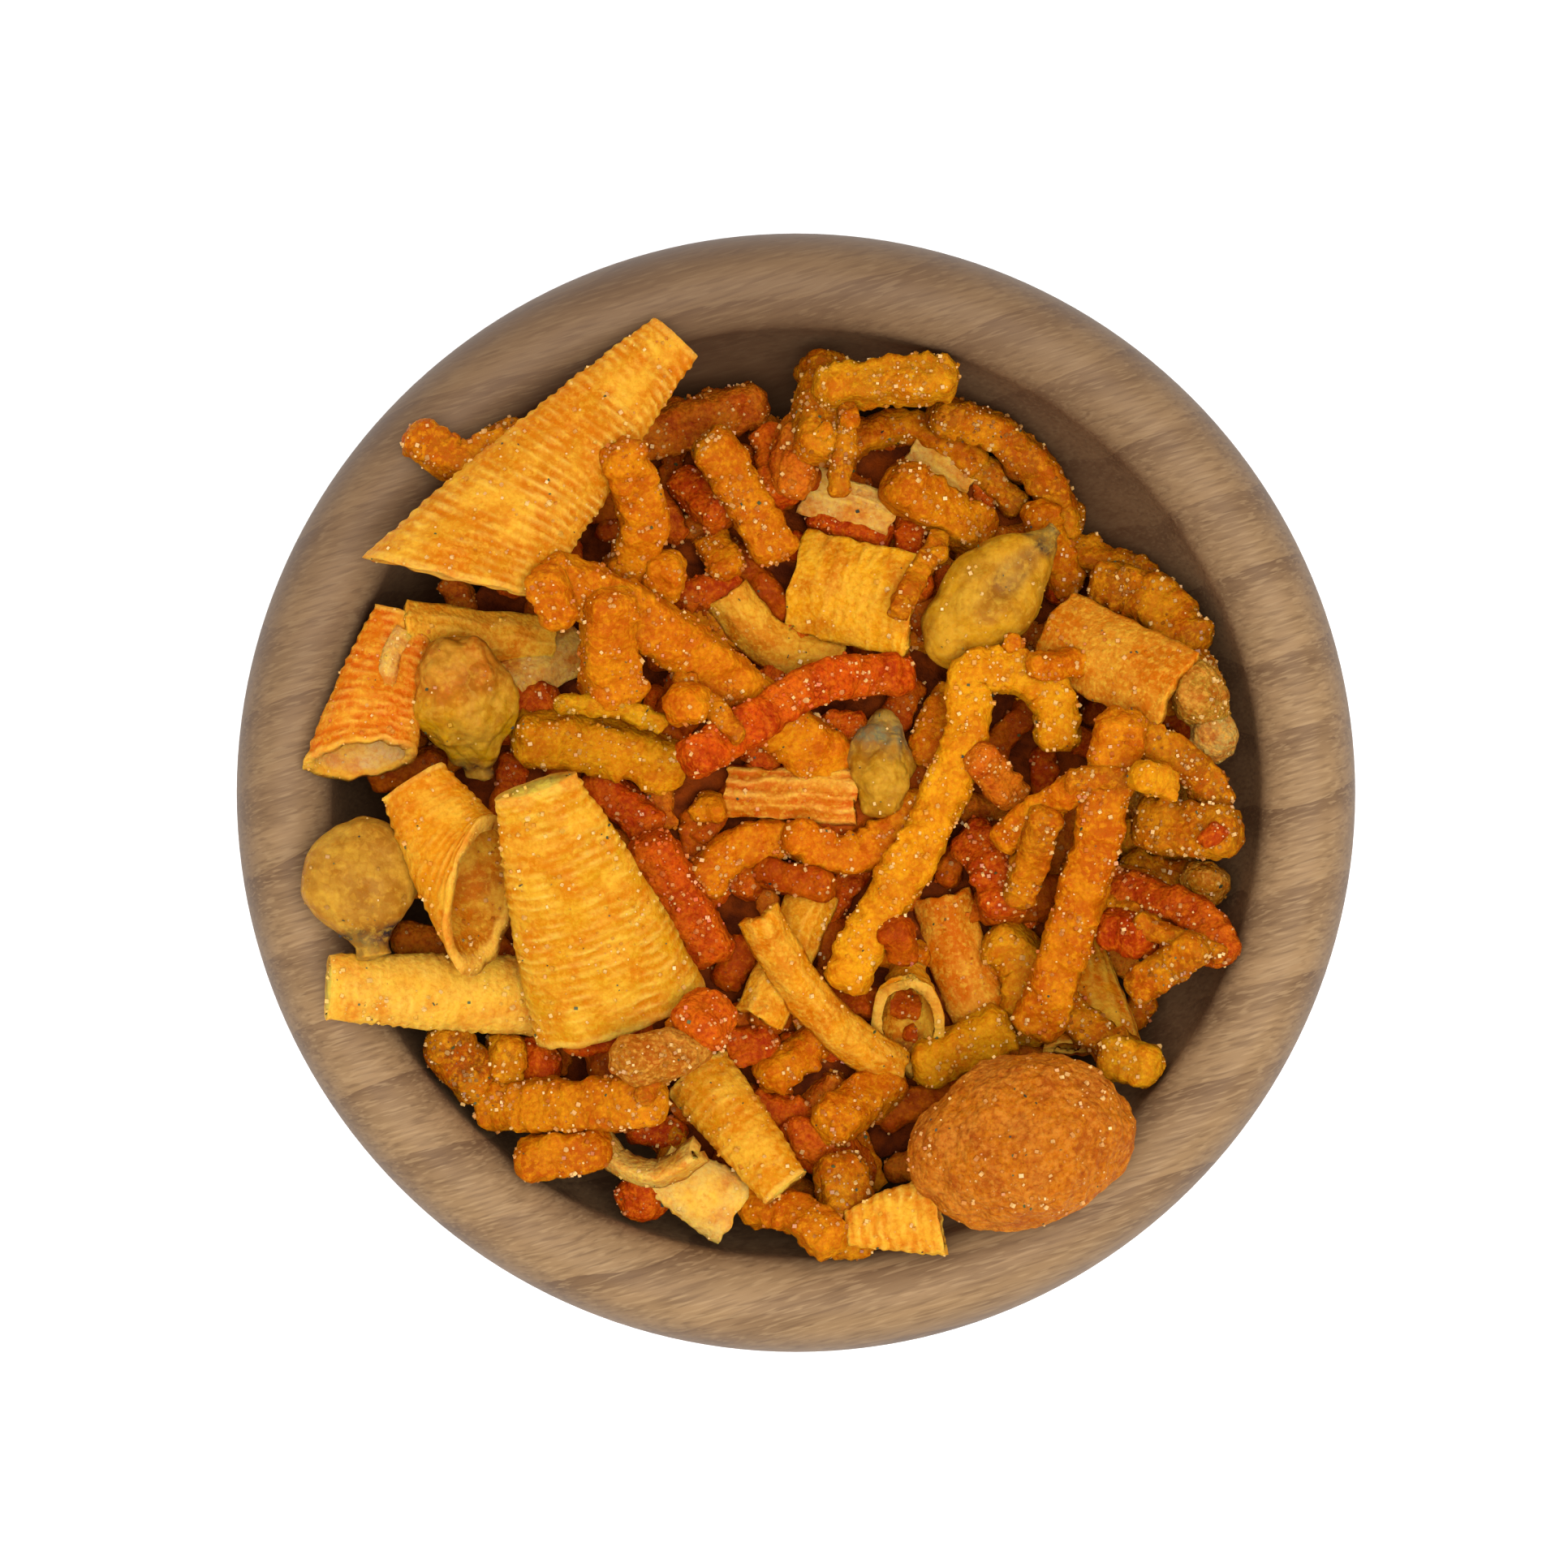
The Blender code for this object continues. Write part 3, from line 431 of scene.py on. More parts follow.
class Heap:
    """The heap's upper surface as a grid of levels, on which the pieces are laid one by one."""

    def __init__(self):
        edge = BOWL_RADIUS + GRID_MARGIN
        axis = np.arange(-edge, edge + GRID_STEP, GRID_STEP)
        self.x, self.y = np.meshgrid(axis, axis)
        radius = np.hypot(self.x, self.y)
        self.bowl = bowl_surface(radius)
        core = core_top(self.x, self.y)
        self.food = np.where((radius < LIP_RADIUS - CORE_GAP) & (core > self.bowl), core, NOTHING)

    def near(self, line):
        """The cells beside a line, how far along it each one is, and how far away from it."""
        low, high = line.min(axis=0) - WIDEST_HALF, line.max(axis=0) + WIDEST_HALF
        box = (self.x > low[0]) & (self.x < high[0]) & (self.y > low[1]) & (self.y < high[1])
        cells = np.column_stack([self.x[box], self.y[box]])
        lengths = np.linalg.norm(np.diff(line, axis=0), axis=1)
        starts = np.concatenate([[0], np.cumsum(lengths)])
        best = np.full(len(cells), np.inf)
        along = np.zeros(len(cells))
        for i, length in enumerate(lengths):
            direction = (line[i + 1] - line[i]) / length
            s = (cells - line[i]) @ direction
            before = -np.inf if i == 0 else 0.0
            after = np.inf if i == len(lengths) - 1 else length
            s = np.clip(s, before, after)
            distance = np.linalg.norm(cells - line[i] - s[:, None] * direction, axis=1)
            closer = distance < best
            best[closer] = distance[closer]
            along[closer] = starts[i] + s[closer]
        return box, along, best, starts[-1]

    def rest(self, piece):
        """Where a piece comes to lie: its middle line, the cells it covers and its form there."""
        seen = smooth_path(piece["path"], PATH_STEP)
        levels = np.full(len(seen), BOWL_HEIGHT)
        for _ in range(LEVEL_ROUNDS):
            line = seen * ((BOWL_HEIGHT + EYE_OVER_RIM - levels) / EYE_OVER_RIM)[:, None]
            box, along, away, length = self.near(line)
            piece["length"] = length
            full = fullness(piece, np.clip(along / length, 0, 1))
            inside = (along >= 0) & (along <= length) & (away < 0.5 * piece["width"] * full)
            along, away, full = along[inside], away[inside], full[inside]
            cap = 0.5 * piece["height"] * full * np.sqrt(1 - (2 * away / (piece["width"] * full)) ** 2)
            under = np.maximum(self.bowl[box][inside], self.food[box][inside] - piece["sink"])
            start, slope = resting_line(along, under + cap, length)
            stops = np.concatenate([[0], np.cumsum(np.linalg.norm(np.diff(line, axis=0), axis=1))])
            levels = start + slope * stops
        return np.column_stack([line, levels]), box, inside, start + slope * along, cap

    def settle(self, piece, props=2):
        """Lay a piece on the heap, with props under it where it would only touch the wall."""
        line, box, inside, middle, cap = self.rest(piece)
        gap = middle - cap - self.food[box][inside]
        if props and np.sort(gap)[LOOSE_CELLS] > -LEAST_BITE:
            spot = np.argmin(gap)
            place = np.array([self.x[box][inside][spot], self.y[box][inside][spot]])
            place = place * EYE_OVER_RIM / (BOWL_HEIGHT + EYE_OVER_RIM - middle[spot])
            inward = place / np.hypot(*place) * PROP_REACH
            width = float(np.clip(gap[spot] + PROP_SPARE, *PROP_WIDTHS))
            outer, inner = place + PROP_SPAN[0] * inward, place - PROP_SPAN[1] * inward
            prop = stick(width, outer, inner, look="shaded")
            return self.settle(prop, 0) + self.settle(piece, props - 1)
        patch = self.food[box]
        patch[inside] = np.maximum(patch[inside], middle + cap)
        self.food[box] = patch
        return [(piece, line)]


# %% [markdown]
# A few more sticks follow a sunflower pattern over the core, under everything else. They fill the
# gaps that are too deep to see into, as the real mix goes on below its visible pieces.

# %% Lay everything
FILLER_COUNT = 10
FILLER_SEED = 7
FILLER_SPREAD = 33.0
FILLER_HALF_LENGTHS = (4.0, 7.0)
FILLER_WIDTHS = (3.6, 5.0)
FILLER_WANDER = 0.2
GOLDEN_ANGLE = math.radians(137.5)


def fillers():
    """Sticks by a seeded rule, a sunflower pattern over the core, that show between the others."""
    draw = random.Random(FILLER_SEED)
    found = []
    for i in range(FILLER_COUNT):
        radius = FILLER_SPREAD * math.sqrt((i + 0.5) / FILLER_COUNT)
        angle = i * GOLDEN_ANGLE + draw.uniform(-FILLER_WANDER, FILLER_WANDER)
        middle = np.array([math.cos(angle), math.sin(angle)]) * radius
        turn = draw.uniform(0, math.pi)
        half = np.array([math.cos(turn), math.sin(turn)]) * draw.uniform(*FILLER_HALF_LENGTHS)
        found.append(stick(draw.uniform(*FILLER_WIDTHS), middle - half, middle + half,
                           look="deep orange"))
    return found


heap = Heap()
laid = [found for piece in fillers() + LAYOUT + CRUMBS for found in heap.settle(piece)]
print(len(laid), "pieces lie in the bowl, the highest at", round(float(heap.food.max()), 1), "mm")

# %% [markdown]
# ## Colours of the mix
#
# The seasoning is a paprika and cheese dust, so most of the mix is some orange. The bare corn under
# it is cream, the sticks with chilli are red, and the toasted kernels are the yellow brown of corn.
# A piece that lies in the shade of others gets a deeper colour, which is painted shade, not its own.

# %% Colours by name
LOOKS = {
    "orange": (216, 108, 2),
    "light orange": (238, 146, 6),
    "pale orange": (220, 132, 12),
    # Painted shade: this look and the next are deeper for pieces in the shade of others.
    "deep orange": (176, 62, 0),
    "shaded": (184, 97, 6),
    "orange gold": (204, 112, 6),
    # Painted shade: a deeper look for a piece that lies low in the shade of others.
    "brown": (152, 78, 6),
    "red brown": (220, 120, 18),
    "red": (206, 72, 2),
    "dark red": (234, 92, 6),
    "bright red": (222, 84, 4),
    "nugget": (190, 112, 20),
    "olive": (196, 132, 4),
    "cream": (244, 172, 38),
    "bare": (230, 186, 94),
    "curl": (230, 190, 88),
    "yellow": (238, 156, 16),
    "hoop": (222, 140, 8),
    "ochre": (224, 148, 10),
    "square": (254, 182, 20),
    "striped": (248, 166, 58),
    "gold": (234, 146, 8),
    "big gold": (206, 126, 6),
    "front gold": (216, 148, 10),
    "pale cone": (240, 184, 64),
    "red cone": (226, 118, 12),
    "striped cone": (246, 156, 20),
    "kernel": (212, 148, 20),
    "tan kernel": (182, 124, 38),
    "green kernel": (206, 150, 8),
    "split kernel": (190, 130, 18),
    "nut": (200, 140, 36),
    "pale nut": (216, 176, 84),
    "coated": (200, 110, 12),
}
PAPRIKA = linear(216, 84, 4)
DARK_TIP = linear(48, 38, 38)
CRUST = linear(196, 108, 22)
GERM = linear(150, 98, 42)
CHEESE = linear(236, 160, 30)


def mix(first, second, share):
    share = min(max(share, 0.0), 1.0)
    return [a + (b - a) * share for a, b in zip(first, second)]


print(len(LOOKS), "colours by name")


# %% [markdown]
# ## A place along a line
#
# Each piece follows its own resting line, so its mesh is first made straight and upright with a
# radius of one, and then every point is carried to the line. The frame at each stop has one
# direction ahead, one level to the side, and one up.

# %% Frames on a line and roughness of a skin
def frames_on(line, stops):
    """Places on a line at fractions of its length, with the directions ahead, to the side and up."""
    steps = np.linalg.norm(np.diff(line, axis=0), axis=1)
    marks = np.concatenate([[0], np.cumsum(steps)]) / steps.sum()
    places = np.column_stack([np.interp(stops, marks, line[:, axis]) for axis in range(3)])
    ahead = np.gradient(places, axis=0)
    ahead /= np.linalg.norm(ahead, axis=1)[:, None]
    side = np.column_stack([-ahead[:, 1], ahead[:, 0], np.zeros(len(places))])
    side /= np.linalg.norm(side, axis=1)[:, None]
    return [[Vector(row) for row in rows] for rows in (places, ahead, side, np.cross(ahead, side))]


def line_length(line):
    return float(np.linalg.norm(np.diff(line, axis=0), axis=1).sum())


def roughen(bm, *grains):
    """Push the skin in and out by soft noise. Each grain is its size in mm and its depth in mm."""
    bm.normal_update()
    moves = []
    for vert in bm.verts:
        depth = sum(height * noise.noise(vert.co / size + Vector((size, 0, 0)))
                    for size, height in grains)
        moves.append((vert, vert.normal * depth))
    for vert, move in moves:
        vert.co += move


# %% [markdown]
# ## Fried corn sticks
#
# The sticks are pressed through a square die and fried, which leaves soft corners, small notches
# along them and a crumbly skin. A curve with a round bevel would look like a plastic tube, so each
# stick starts as a cylinder, cut into rings, and its round section is pushed out to a soft square.
# A thick stick gets more sides than a thin one, so that the facets have one size on all of them.

# %% One stick
SIDE_STEP = 0.36
FEWEST_SIDES = 16
RING_STEP = 0.32
SQUARENESS = 4.0
CAP_RINGS = 3
CAP_STEP = 0.26
FEWEST_RINGS = 6
BODY_SHARE = 0.94
END_SHARE = 0.78
END_REACH = 0.45
END_SWELL = 0.25
NOTCH_SIZE = 0.85
NOTCH_DEPTH = 0.5
MOST_ROLL = 0.4
STICK_SKIN = ((3.0, 0.36), (1.2, 0.24), (0.7, 0.17))


def ringed_tube(sides, rings, closed):
    """An upright tube with a radius of one and a height of one, cut into rings."""
    bm = bmesh.new()
    bmesh.ops.create_cone(bm, cap_ends=closed, segments=sides, radius1=1, radius2=1, depth=1)
    long_edges = [e for e in bm.edges if abs(e.verts[0].co.z - e.verts[1].co.z) > 0.5]
    bmesh.ops.subdivide_edges(bm, edges=long_edges, cuts=rings - 1)
    return bm


def stick_mesh(piece, line, colour, draw):
    length = line_length(line)
    rings = max(FEWEST_RINGS, round(length / RING_STEP))
    sides = max(FEWEST_SIDES, round(math.pi * piece["width"] / SIDE_STEP))
    bm = ringed_tube(sides, rings, closed=True)
    caps = [face for face in bm.faces if len(face.verts) == sides]
    for _ in range(CAP_RINGS):
        bmesh.ops.inset_individual(bm, faces=caps, thickness=CAP_STEP)
    bmesh.ops.poke(bm, faces=caps)
    places, ahead, side, up = frames_on(line, np.linspace(0, 1, rings + 1))
    tint = bm.verts.layers.float_color.new("tint")
    roll, shift = draw.uniform(-MOST_ROLL, MOST_ROLL), draw.uniform(0, 100)
    half = 0.5 * piece["width"]
    for vert in bm.verts:
        stop = round((vert.co.z + 0.5) * rings)
        from_end = min(stop, rings - stop) / rings * length
        reach = min(1.0, math.hypot(vert.co.x, vert.co.y))
        angle = math.atan2(vert.co.y, vert.co.x)
        c, s = math.cos(angle + roll), math.sin(angle + roll)
        square = BODY_SHARE / (abs(c) ** SQUARENESS + abs(s) ** SQUARENESS) ** (1 / SQUARENESS)
        corner = abs(math.sin(2 * (angle + roll))) ** 2
        notch = NOTCH_DEPTH * corner * noise.noise((stop * RING_STEP / NOTCH_SIZE, shift, angle))
        ending = min(from_end / (END_REACH * half), 1.0)
        rounded = END_SHARE + (1 - END_SHARE) * math.sqrt(1 - (1 - ending) ** 2)
        wide = (half * square * rounded + notch) * reach
        swell = END_SWELL * half * math.sqrt(max(1 - reach ** 2, 0)) * (1 if stop else -1)
        across = math.cos(angle) * side[stop] + math.sin(angle) * up[stop]
        vert.co = places[stop] + across * wide + ahead[stop] * (swell if stop in (0, rings) else 0)
        vert[tint] = (*colour, 1)
    roughen(bm, *STICK_SKIN)
    return bm


# %% [markdown]
# ## Hollow corn cones
#
# A corn cone is a thin sheet of dough that was rolled to a funnel and puffed: it is open at both
# ends and has fine ridges all round. Two tubes, one inside the other, joined at both ends by
# bridging their loops, give a real wall, so that the mouth shows how thin the sheet is. Paprika
# lies in the valleys between the ridges, deepened by painted shade, and the crests are worn pale and
# carry a painted highlight, so the tint follows them. The inside is painted darker as shade, but the
# red cone's inside is pale of itself.

# %% One cone
CONE_SIDES = 78
CONE_RING_STEP = 0.26
FEWEST_CONE_RINGS = 8
CONE_WALL = 0.9
CONE_BELLY = 0.05
EDGE_WAVE = 0.35
LEAST_SLANT = 0.35
RIDGE_STEP = 1.02
RIDGE_DEPTH = 0.11
TIP_FLATNESS = 0.55
RIM_FROM = 0.975
STREAKS = 13
RIM_PALENESS = 0.45
INSIDE_SHARE = 0.85
CONE_SKIN = ((2.6, 0.18), (0.7, 0.06))
STRIPES = {"red cone": (0.9, 0.35), "striped cone": (0.95, 0.4), "big gold": (0.35, 0.55),
           "front gold": (0.25, 0.6), "gold": (0.25, 0.25), "ochre": (0.3, 0.3), "cream": (0.6, 0.5),
           "bare": (0.0, 0.4), "pale cone": (0.05, 0.5), "hoop": (0.2, 0.2)}
MOUTHS = {"gold": (0.7, 0.9)}
# Pale crests: worn seasoning with a painted highlight; the rims at the ends take it too.
CREST = linear(255, 214, 96)
# The red cone's pale inside is its own colour; the hoop's dark inside and the deeper orange of the other
# insides are painted shade.
INSIDE_COLOURS_AND_SHADE = {"red cone": linear(232, 190, 120), "hoop": linear(120, 56, 6)}
CONE_INSIDE_SHADE = linear(182, 92, 6)


def frame_along(line):
    """Matrix whose Z runs from the line's start to its end, with X level, at the start."""
    start, end = Vector(line[0]), Vector(line[-1])
    z = (end - start).normalized()
    x = Vector((-z.y, z.x, 0)).normalized()
    turn = Matrix((x, z.cross(x), z)).transposed().to_4x4()
    return Matrix.Translation(start) @ turn


def cone_mesh(piece, line, colour, draw):
    length = float(np.linalg.norm(line[-1] - line[0]))
    rings = max(FEWEST_CONE_RINGS, round(length / CONE_RING_STEP))
    look = piece["look"]
    share, flat = MOUTHS.get(look, (1.0, piece["height"] / piece["width"]))
    mouth, tip = 0.5 * piece["width"] * share, piece["tip"] / share
    bm = ringed_tube(CONE_SIDES, rings, closed=False)
    tint = bm.verts.layers.float_color.new("tint")
    within = bm.verts.layers.int.new("within")
    twin = bmesh.ops.duplicate(bm, geom=bm.verts[:] + bm.edges[:] + bm.faces[:])
    for part in twin["geom"]:
        if isinstance(part, bmesh.types.BMVert):
            part[within] = 1
    ends = [[e for e in bm.edges if e.is_boundary and all(abs(v.co.z - z) < 0.001 for v in e.verts)]
            for z in (-0.5, 0.5)]
    matrix = frame_along(line)
    faces = matrix.to_3x3().inverted() @ Vector(piece["faces"] or matrix.col[2][:3]).normalized()
    slant_x, slant_y = (-part / max(faces.z, LEAST_SLANT) for part in faces.xy)
    in_valleys, on_crests = STRIPES[look]
    shift = draw.uniform(0, 50)
    for vert in bm.verts:
        t, angle = vert.co.z + 0.5, math.atan2(vert.co.y, vert.co.x)
        c, s = math.cos(angle), math.sin(angle)
        radius = mouth * (tip + (1 - tip) * t + CONE_BELLY * math.sin(math.pi * t))
        wander = 0.4 * noise.noise((2 * c, 2 * s, t * 4 + shift))
        ridge = math.cos(2 * math.pi * (t * length / RIDGE_STEP + wander))
        if look == "striped cone":
            ridge = math.cos(STREAKS * angle + 4 * wander)
        broken = min(max(0.5 + 1.3 * noise.noise((3.5 * c, 3.5 * s, t * 11 + shift)), 0.0), 1.2)
        radius += -CONE_WALL if vert[within] else RIDGE_DEPTH * ridge * broken
        squeeze = 1.0 if look == "hoop" else TIP_FLATNESS + (1 - TIP_FLATNESS) * t
        x, y = radius * c, flat * squeeze * radius * s
        edge = EDGE_WAVE * noise.noise((4 * c, 4 * s, shift))
        z = t * length + (slant_x * x + slant_y * y) * t ** 2 + edge * t ** 4
        vert.co = matrix @ Vector((x, y, z))
        if max(t, 1 - t) > RIM_FROM:
            shade = mix(colour, CREST, RIM_PALENESS)
        # Painted shade inside the tube, except the red cone's own pale inside.
        elif vert[within]:
            shade = mix(colour, INSIDE_COLOURS_AND_SHADE.get(look, CONE_INSIDE_SHADE), INSIDE_SHARE)
        else:
            # Seasoning and painted shade in the valleys, worn seasoning and a painted highlight on the
            # crests; the striped cone's streaks are its own.
            shade = mix(colour, PAPRIKA, in_valleys * (0.5 - 0.5 * ridge) * (0.6 + 0.6 * broken))
            shade = mix(shade, CREST, on_crests * max(ridge, 0) * broken)
        vert[tint] = (*shade, 1)
    for ring in ends:
        bmesh.ops.bridge_loops(bm, edges=ring)
    bmesh.ops.recalc_face_normals(bm, faces=bm.faces)
    roughen(bm, *CONE_SKIN)
    return bm


# %% [markdown]
# ## Crisps
#
# The flat pieces are strips of the same ridged dough. Each starts as a grid that follows its line,
# arched across, with ridges that run lengthwise, or across on the square one. Giving the sheet its
# thickness last, with the solidify operator, keeps the two faces parallel as in a rolled dough. The
# operator may leave the faces of the edge in another order each time, so they are sorted after it.

# %% One crisp
CHIP_STEP = 0.22
CHIP_THICKNESS = 1.0
CHIP_RIDGE_STEP = 1.15
CHIP_RIDGE_DEPTH = 0.16
SLIM = {"curl": 0.55}
ARCH = {"striped": 0.3, "square": 0.4, "orange gold": 0.6, "curl": 1.0}
RIDGED = {"striped": 1.0, "square": 0.5, "orange gold": 0.25, "orange": 0.3}
RAISED = {"striped": 1.1, "square": 0.8}
STRAIGHT = ("orange gold",)
ARCH_SHARE = 0.7
RIDGED_SHARE = 0.7
DUSTED = 0.3
CREST_SHARE = 0.4
CHIP_SKIN = ((2.2, 0.22), (0.8, 0.06))
MORE_THAN_ALL = 1e6


def place_in_grid(face):
    """A number that only this face has, from the indices of its points."""
    indices = [vert.index for vert in face.verts]
    return min(indices) * MORE_THAN_ALL + sum(indices)


def chip_mesh(piece, line, colour, draw):
    look = piece["look"]
    line = line[[0, -1]] if look in STRAIGHT else line
    length = line_length(line)
    half = 0.5 * piece["width"] * SLIM.get(look, 1.0)
    long_cuts, wide_cuts = round(length / CHIP_STEP), round(2 * half / CHIP_STEP)
    bm = bmesh.new()
    bmesh.ops.create_grid(bm, x_segments=long_cuts, y_segments=wide_cuts, size=1.0)
    places, ahead, side, up = frames_on(line, np.linspace(0, 1, long_cuts + 1))
    tint = bm.verts.layers.float_color.new("tint")
    rise = (piece["height"] - CHIP_THICKNESS) * ARCH.get(look, ARCH_SHARE)
    ridged = RIDGED.get(look, RIDGED_SHARE)
    across_ridges = look == "square"
    shift = draw.uniform(0, 50)
    for vert in bm.verts:
        t, across = (vert.co.x + 1) / 2, vert.co.y
        stop = round(t * long_cuts)
        place = t * length if across_ridges else across * half
        wander = 0.5 * noise.noise((t * length / 3, across * 2, shift))
        broken = min(max(0.6 + 1.2 * noise.noise((t * length / 2.4, across * 3, shift + 9)), 0.0), 1.0)
        ridge = math.cos(2 * math.pi * (place / CHIP_RIDGE_STEP + wander)) * ridged
        ridge *= 1.0 if look == "striped" else broken
        lift = rise * (0.5 - across ** 2) + CHIP_RIDGE_DEPTH * ridge + RAISED.get(look, 0.0)
        edge = 1 + 0.05 * noise.noise((t * length / 1.5, math.copysign(1, across), shift))
        end = 0.4 * noise.noise((across * 2, t, shift)) * (2 * t - 1) ** 8
        vert.co = (places[stop] + side[stop] * (across * half * edge) + up[stop] * lift
                   + ahead[stop] * end)
        # Seasoning and painted shade in the valleys, worn seasoning and a painted highlight on the
        # crests; the striped crisp's bands are its own.
        dust_and_shade = 0.5 - 0.5 * ridge
        shade = mix(colour, PAPRIKA, dust_and_shade ** 0.5 if look == "striped" else DUSTED * dust_and_shade)
        vert[tint] = (*mix(shade, CREST, CREST_SHARE * max(ridge, 0)), 1)
    bm.normal_update()
    bmesh.ops.solidify(bm, geom=bm.faces[:], thickness=CHIP_THICKNESS)
    bm.verts.index_update()
    bm.faces.sort(key=place_in_grid)
    bmesh.ops.recalc_face_normals(bm, faces=bm.faces)
    roughen(bm, *CHIP_SKIN)
    return bm


# %% [markdown]
# ## Kernels, nuts and the coated peanut
#
# A toasted corn kernel is a plump drop with a dark tip where it sat on the cob and a sunken germ on
# one face. An icosphere has even triangles and no poles, so its skin takes dents and wrinkles well.
# The peanut in its crumb coat is the same ball, larger, with a coarser skin.

# %% One kernel
GERM_DEPTH = 0.2
NUB_FROM = 0.84
NUB_REACH = 1.1
STUBS = {"kernel": 0.2, "tan kernel": 0.3, "green kernel": 0.25}
DARK_FROM = {"tan kernel": 0.66}
GERMS = {"kernel": 1.5, "tan kernel": 0.3, "green kernel": 0.15, "split kernel": 0.4}
MOULD_GREY = linear(124, 116, 80)
KERNELS = ("kernel", "tan kernel", "green kernel", "split kernel")
BALL_LEVELS = {"coated": 7, **dict.fromkeys(KERNELS, 6)}
NUT_LEVEL = 5
TAPER = 0.34
CRUMPLED = ((2.6, 0.8), (1.1, 0.26), (0.5, 0.08))
PLUMP = ((4.0, 0.6), (1.3, 0.16))
KERNEL_SKINS = {"coated": ((9.0, 1.0), (3.0, 0.45), (1.1, 0.22), (0.5, 0.1)),
                "green kernel": CRUMPLED, "split kernel": CRUMPLED, "kernel": PLUMP, "tan kernel": PLUMP}
NUT_SKIN = ((3.0, 0.7), (1.2, 0.3), (0.5, 0.12))


def kernel_mesh(piece, line, colour, draw):
    look = piece["look"]
    bm = bmesh.new()
    bmesh.ops.create_icosphere(bm, subdivisions=BALL_LEVELS.get(look, NUT_LEVEL), radius=1.0)
    matrix = frame_along(line)
    half = 0.5 * float(np.linalg.norm(line[-1] - line[0]))
    tint = bm.verts.layers.float_color.new("tint")
    pointed = piece["tip_end"]
    for vert in bm.verts:
        x, y, z = vert.co
        toward_tip = z * pointed
        taper = 1 - TAPER * max(toward_tip, 0) ** 1.4 if pointed else 1.0
        nub = NUB_REACH * max(toward_tip - NUB_FROM, 0) * pointed if look in STUBS else 0.0
        reach = math.hypot(x, y) * taper
        if toward_tip > NUB_FROM and look in STUBS and 0.001 < reach < STUBS[look]:
            taper *= min(STUBS[look] / reach, 2.5)
        upper = matrix.to_3x3() @ Vector((0, y, 0))
        germ = math.exp(-((x / 0.3) ** 2 + ((toward_tip - 0.4) / 0.42) ** 2)) * (upper.z > 0)
        germ = min(germ * GERMS.get(look, 0.0), 1.0)
        patch = 0.3 * noise.noise((3 * x, 3 * y, 3 * z))
        shade = mix(colour, GERM, germ + patch * germ)
        if look == "split kernel":
            shade = mix(shade, MOULD_GREY, (toward_tip + 0.1 + patch) * 2.5)
        elif look == "green kernel":
            shade = mix(shade, CRUST, (0.15 - toward_tip + patch) * 1.8)
        if pointed:
            shade = mix(shade, DARK_TIP, (toward_tip - DARK_FROM.get(look, 0.8) + 0.3 * patch) * 9)
        vert[tint] = (*shade, 1)
        spot = Vector((x * 0.5 * piece["width"] * taper,
                       y * 0.5 * piece["height"] * taper * (1 - GERM_DEPTH * germ),
                       (z + nub + 1) * half))
        vert.co = matrix @ spot
    roughen(bm, *KERNEL_SKINS.get(look, NUT_SKIN))
    return bm


# %% [markdown]
# ## Build the heap
#
# Pieces of one kind and a like colour share a finish, so they are joined to one mesh. Then any point
# that comes too near the wall of the bowl is drawn in towards the axis. Towards the wall the rim
# shades the heap, so painted shade deepens the tint of the sticks and small nuts with the distance.

# %% Kinds that share a finish
LOOK_GROUPS = {"coated": "coated_peanut", **dict.fromkeys(KERNELS, "toasted_kernels"),
               **dict.fromkeys(("red", "dark red", "bright red", "red brown"), "red_sticks")}
MAKERS = {"stick": stick_mesh, "chip": chip_mesh, "kernel": kernel_mesh, "cone": cone_mesh}
STICK_GROUPS = {"deep orange": "shaded_deep_sticks", "light orange": "golden_sticks",
                "pale orange": "golden_sticks", "olive": "golden_sticks", "yellow": "golden_sticks"}
KIND_GROUPS = {"chip": "corn_crisps", "cone": "corn_cones", "kernel": "small_nuts"}
SHADE_PAINTED_GROUPS = ("orange_sticks", "golden_sticks", "shaded_deep_sticks", "red_sticks", "small_nuts")
PAINTED_SHADE_REACH = 66.0


def group_of(piece):
    kind, look = piece["kind"], piece["look"]
    if look in LOOK_GROUPS:
        return LOOK_GROUPS[look]
    return STICK_GROUPS.get(look, "orange_sticks") if kind == "stick" else KIND_GROUPS[kind]


def keep_off_bowl(mesh):
    """Move any point that comes too near the bowl's inner wall in towards the axis."""
    points = np.zeros(len(mesh.vertices) * 3)
    mesh.vertices.foreach_get("co", points)
    points = points.reshape(-1, 3) / MM
    radius = np.hypot(points[:, 0], points[:, 1])
    allowed = wall_radius(points[:, 2])
    share = np.where((points[:, 2] < BOWL_HEIGHT) & (radius > allowed), allowed / radius, 1.0)
    points[:, :2] *= share[:, None]
    mesh.vertices.foreach_set("co", points.ravel() * MM)


def paint_shade_outwards(mesh):
    """Darken the tint with the distance from the middle: painted shade of the rim over the heap."""
    points, tints = np.zeros(len(mesh.vertices) * 3), np.zeros(len(mesh.vertices) * 4)
    mesh.vertices.foreach_get("co", points)
    mesh.attributes["tint"].data.foreach_get("color", tints)
    reach = np.hypot(*(points.reshape(-1, 3)[:, :2] / MM).T)
    tints = tints.reshape(-1, 4)
    tints[:, :3] *= np.exp(-(reach / PAINTED_SHADE_REACH) ** 2)[:, None]
    mesh.attributes["tint"].data.foreach_set("color", tints.ravel())


# %% [markdown]
# Between the large pieces the photograph shows broken bits in the dark. They lie straight on the
# core, so they need no settling: a sunflower pattern spreads them and a seed turns each one.

# %% Broken bits over the core
BIT_COUNT = 150
BIT_SPREAD = 37.0
BIT_HALF_LENGTHS = (1.5, 4.5)
BIT_WIDTHS = (2.0, 3.4)
BIT_LEVELS = (-1.1, 0.1)
BIT_SEED = 5
BIT_LOOKS = ("deep orange", "red", "dark red", "red brown", "deep orange", "orange")


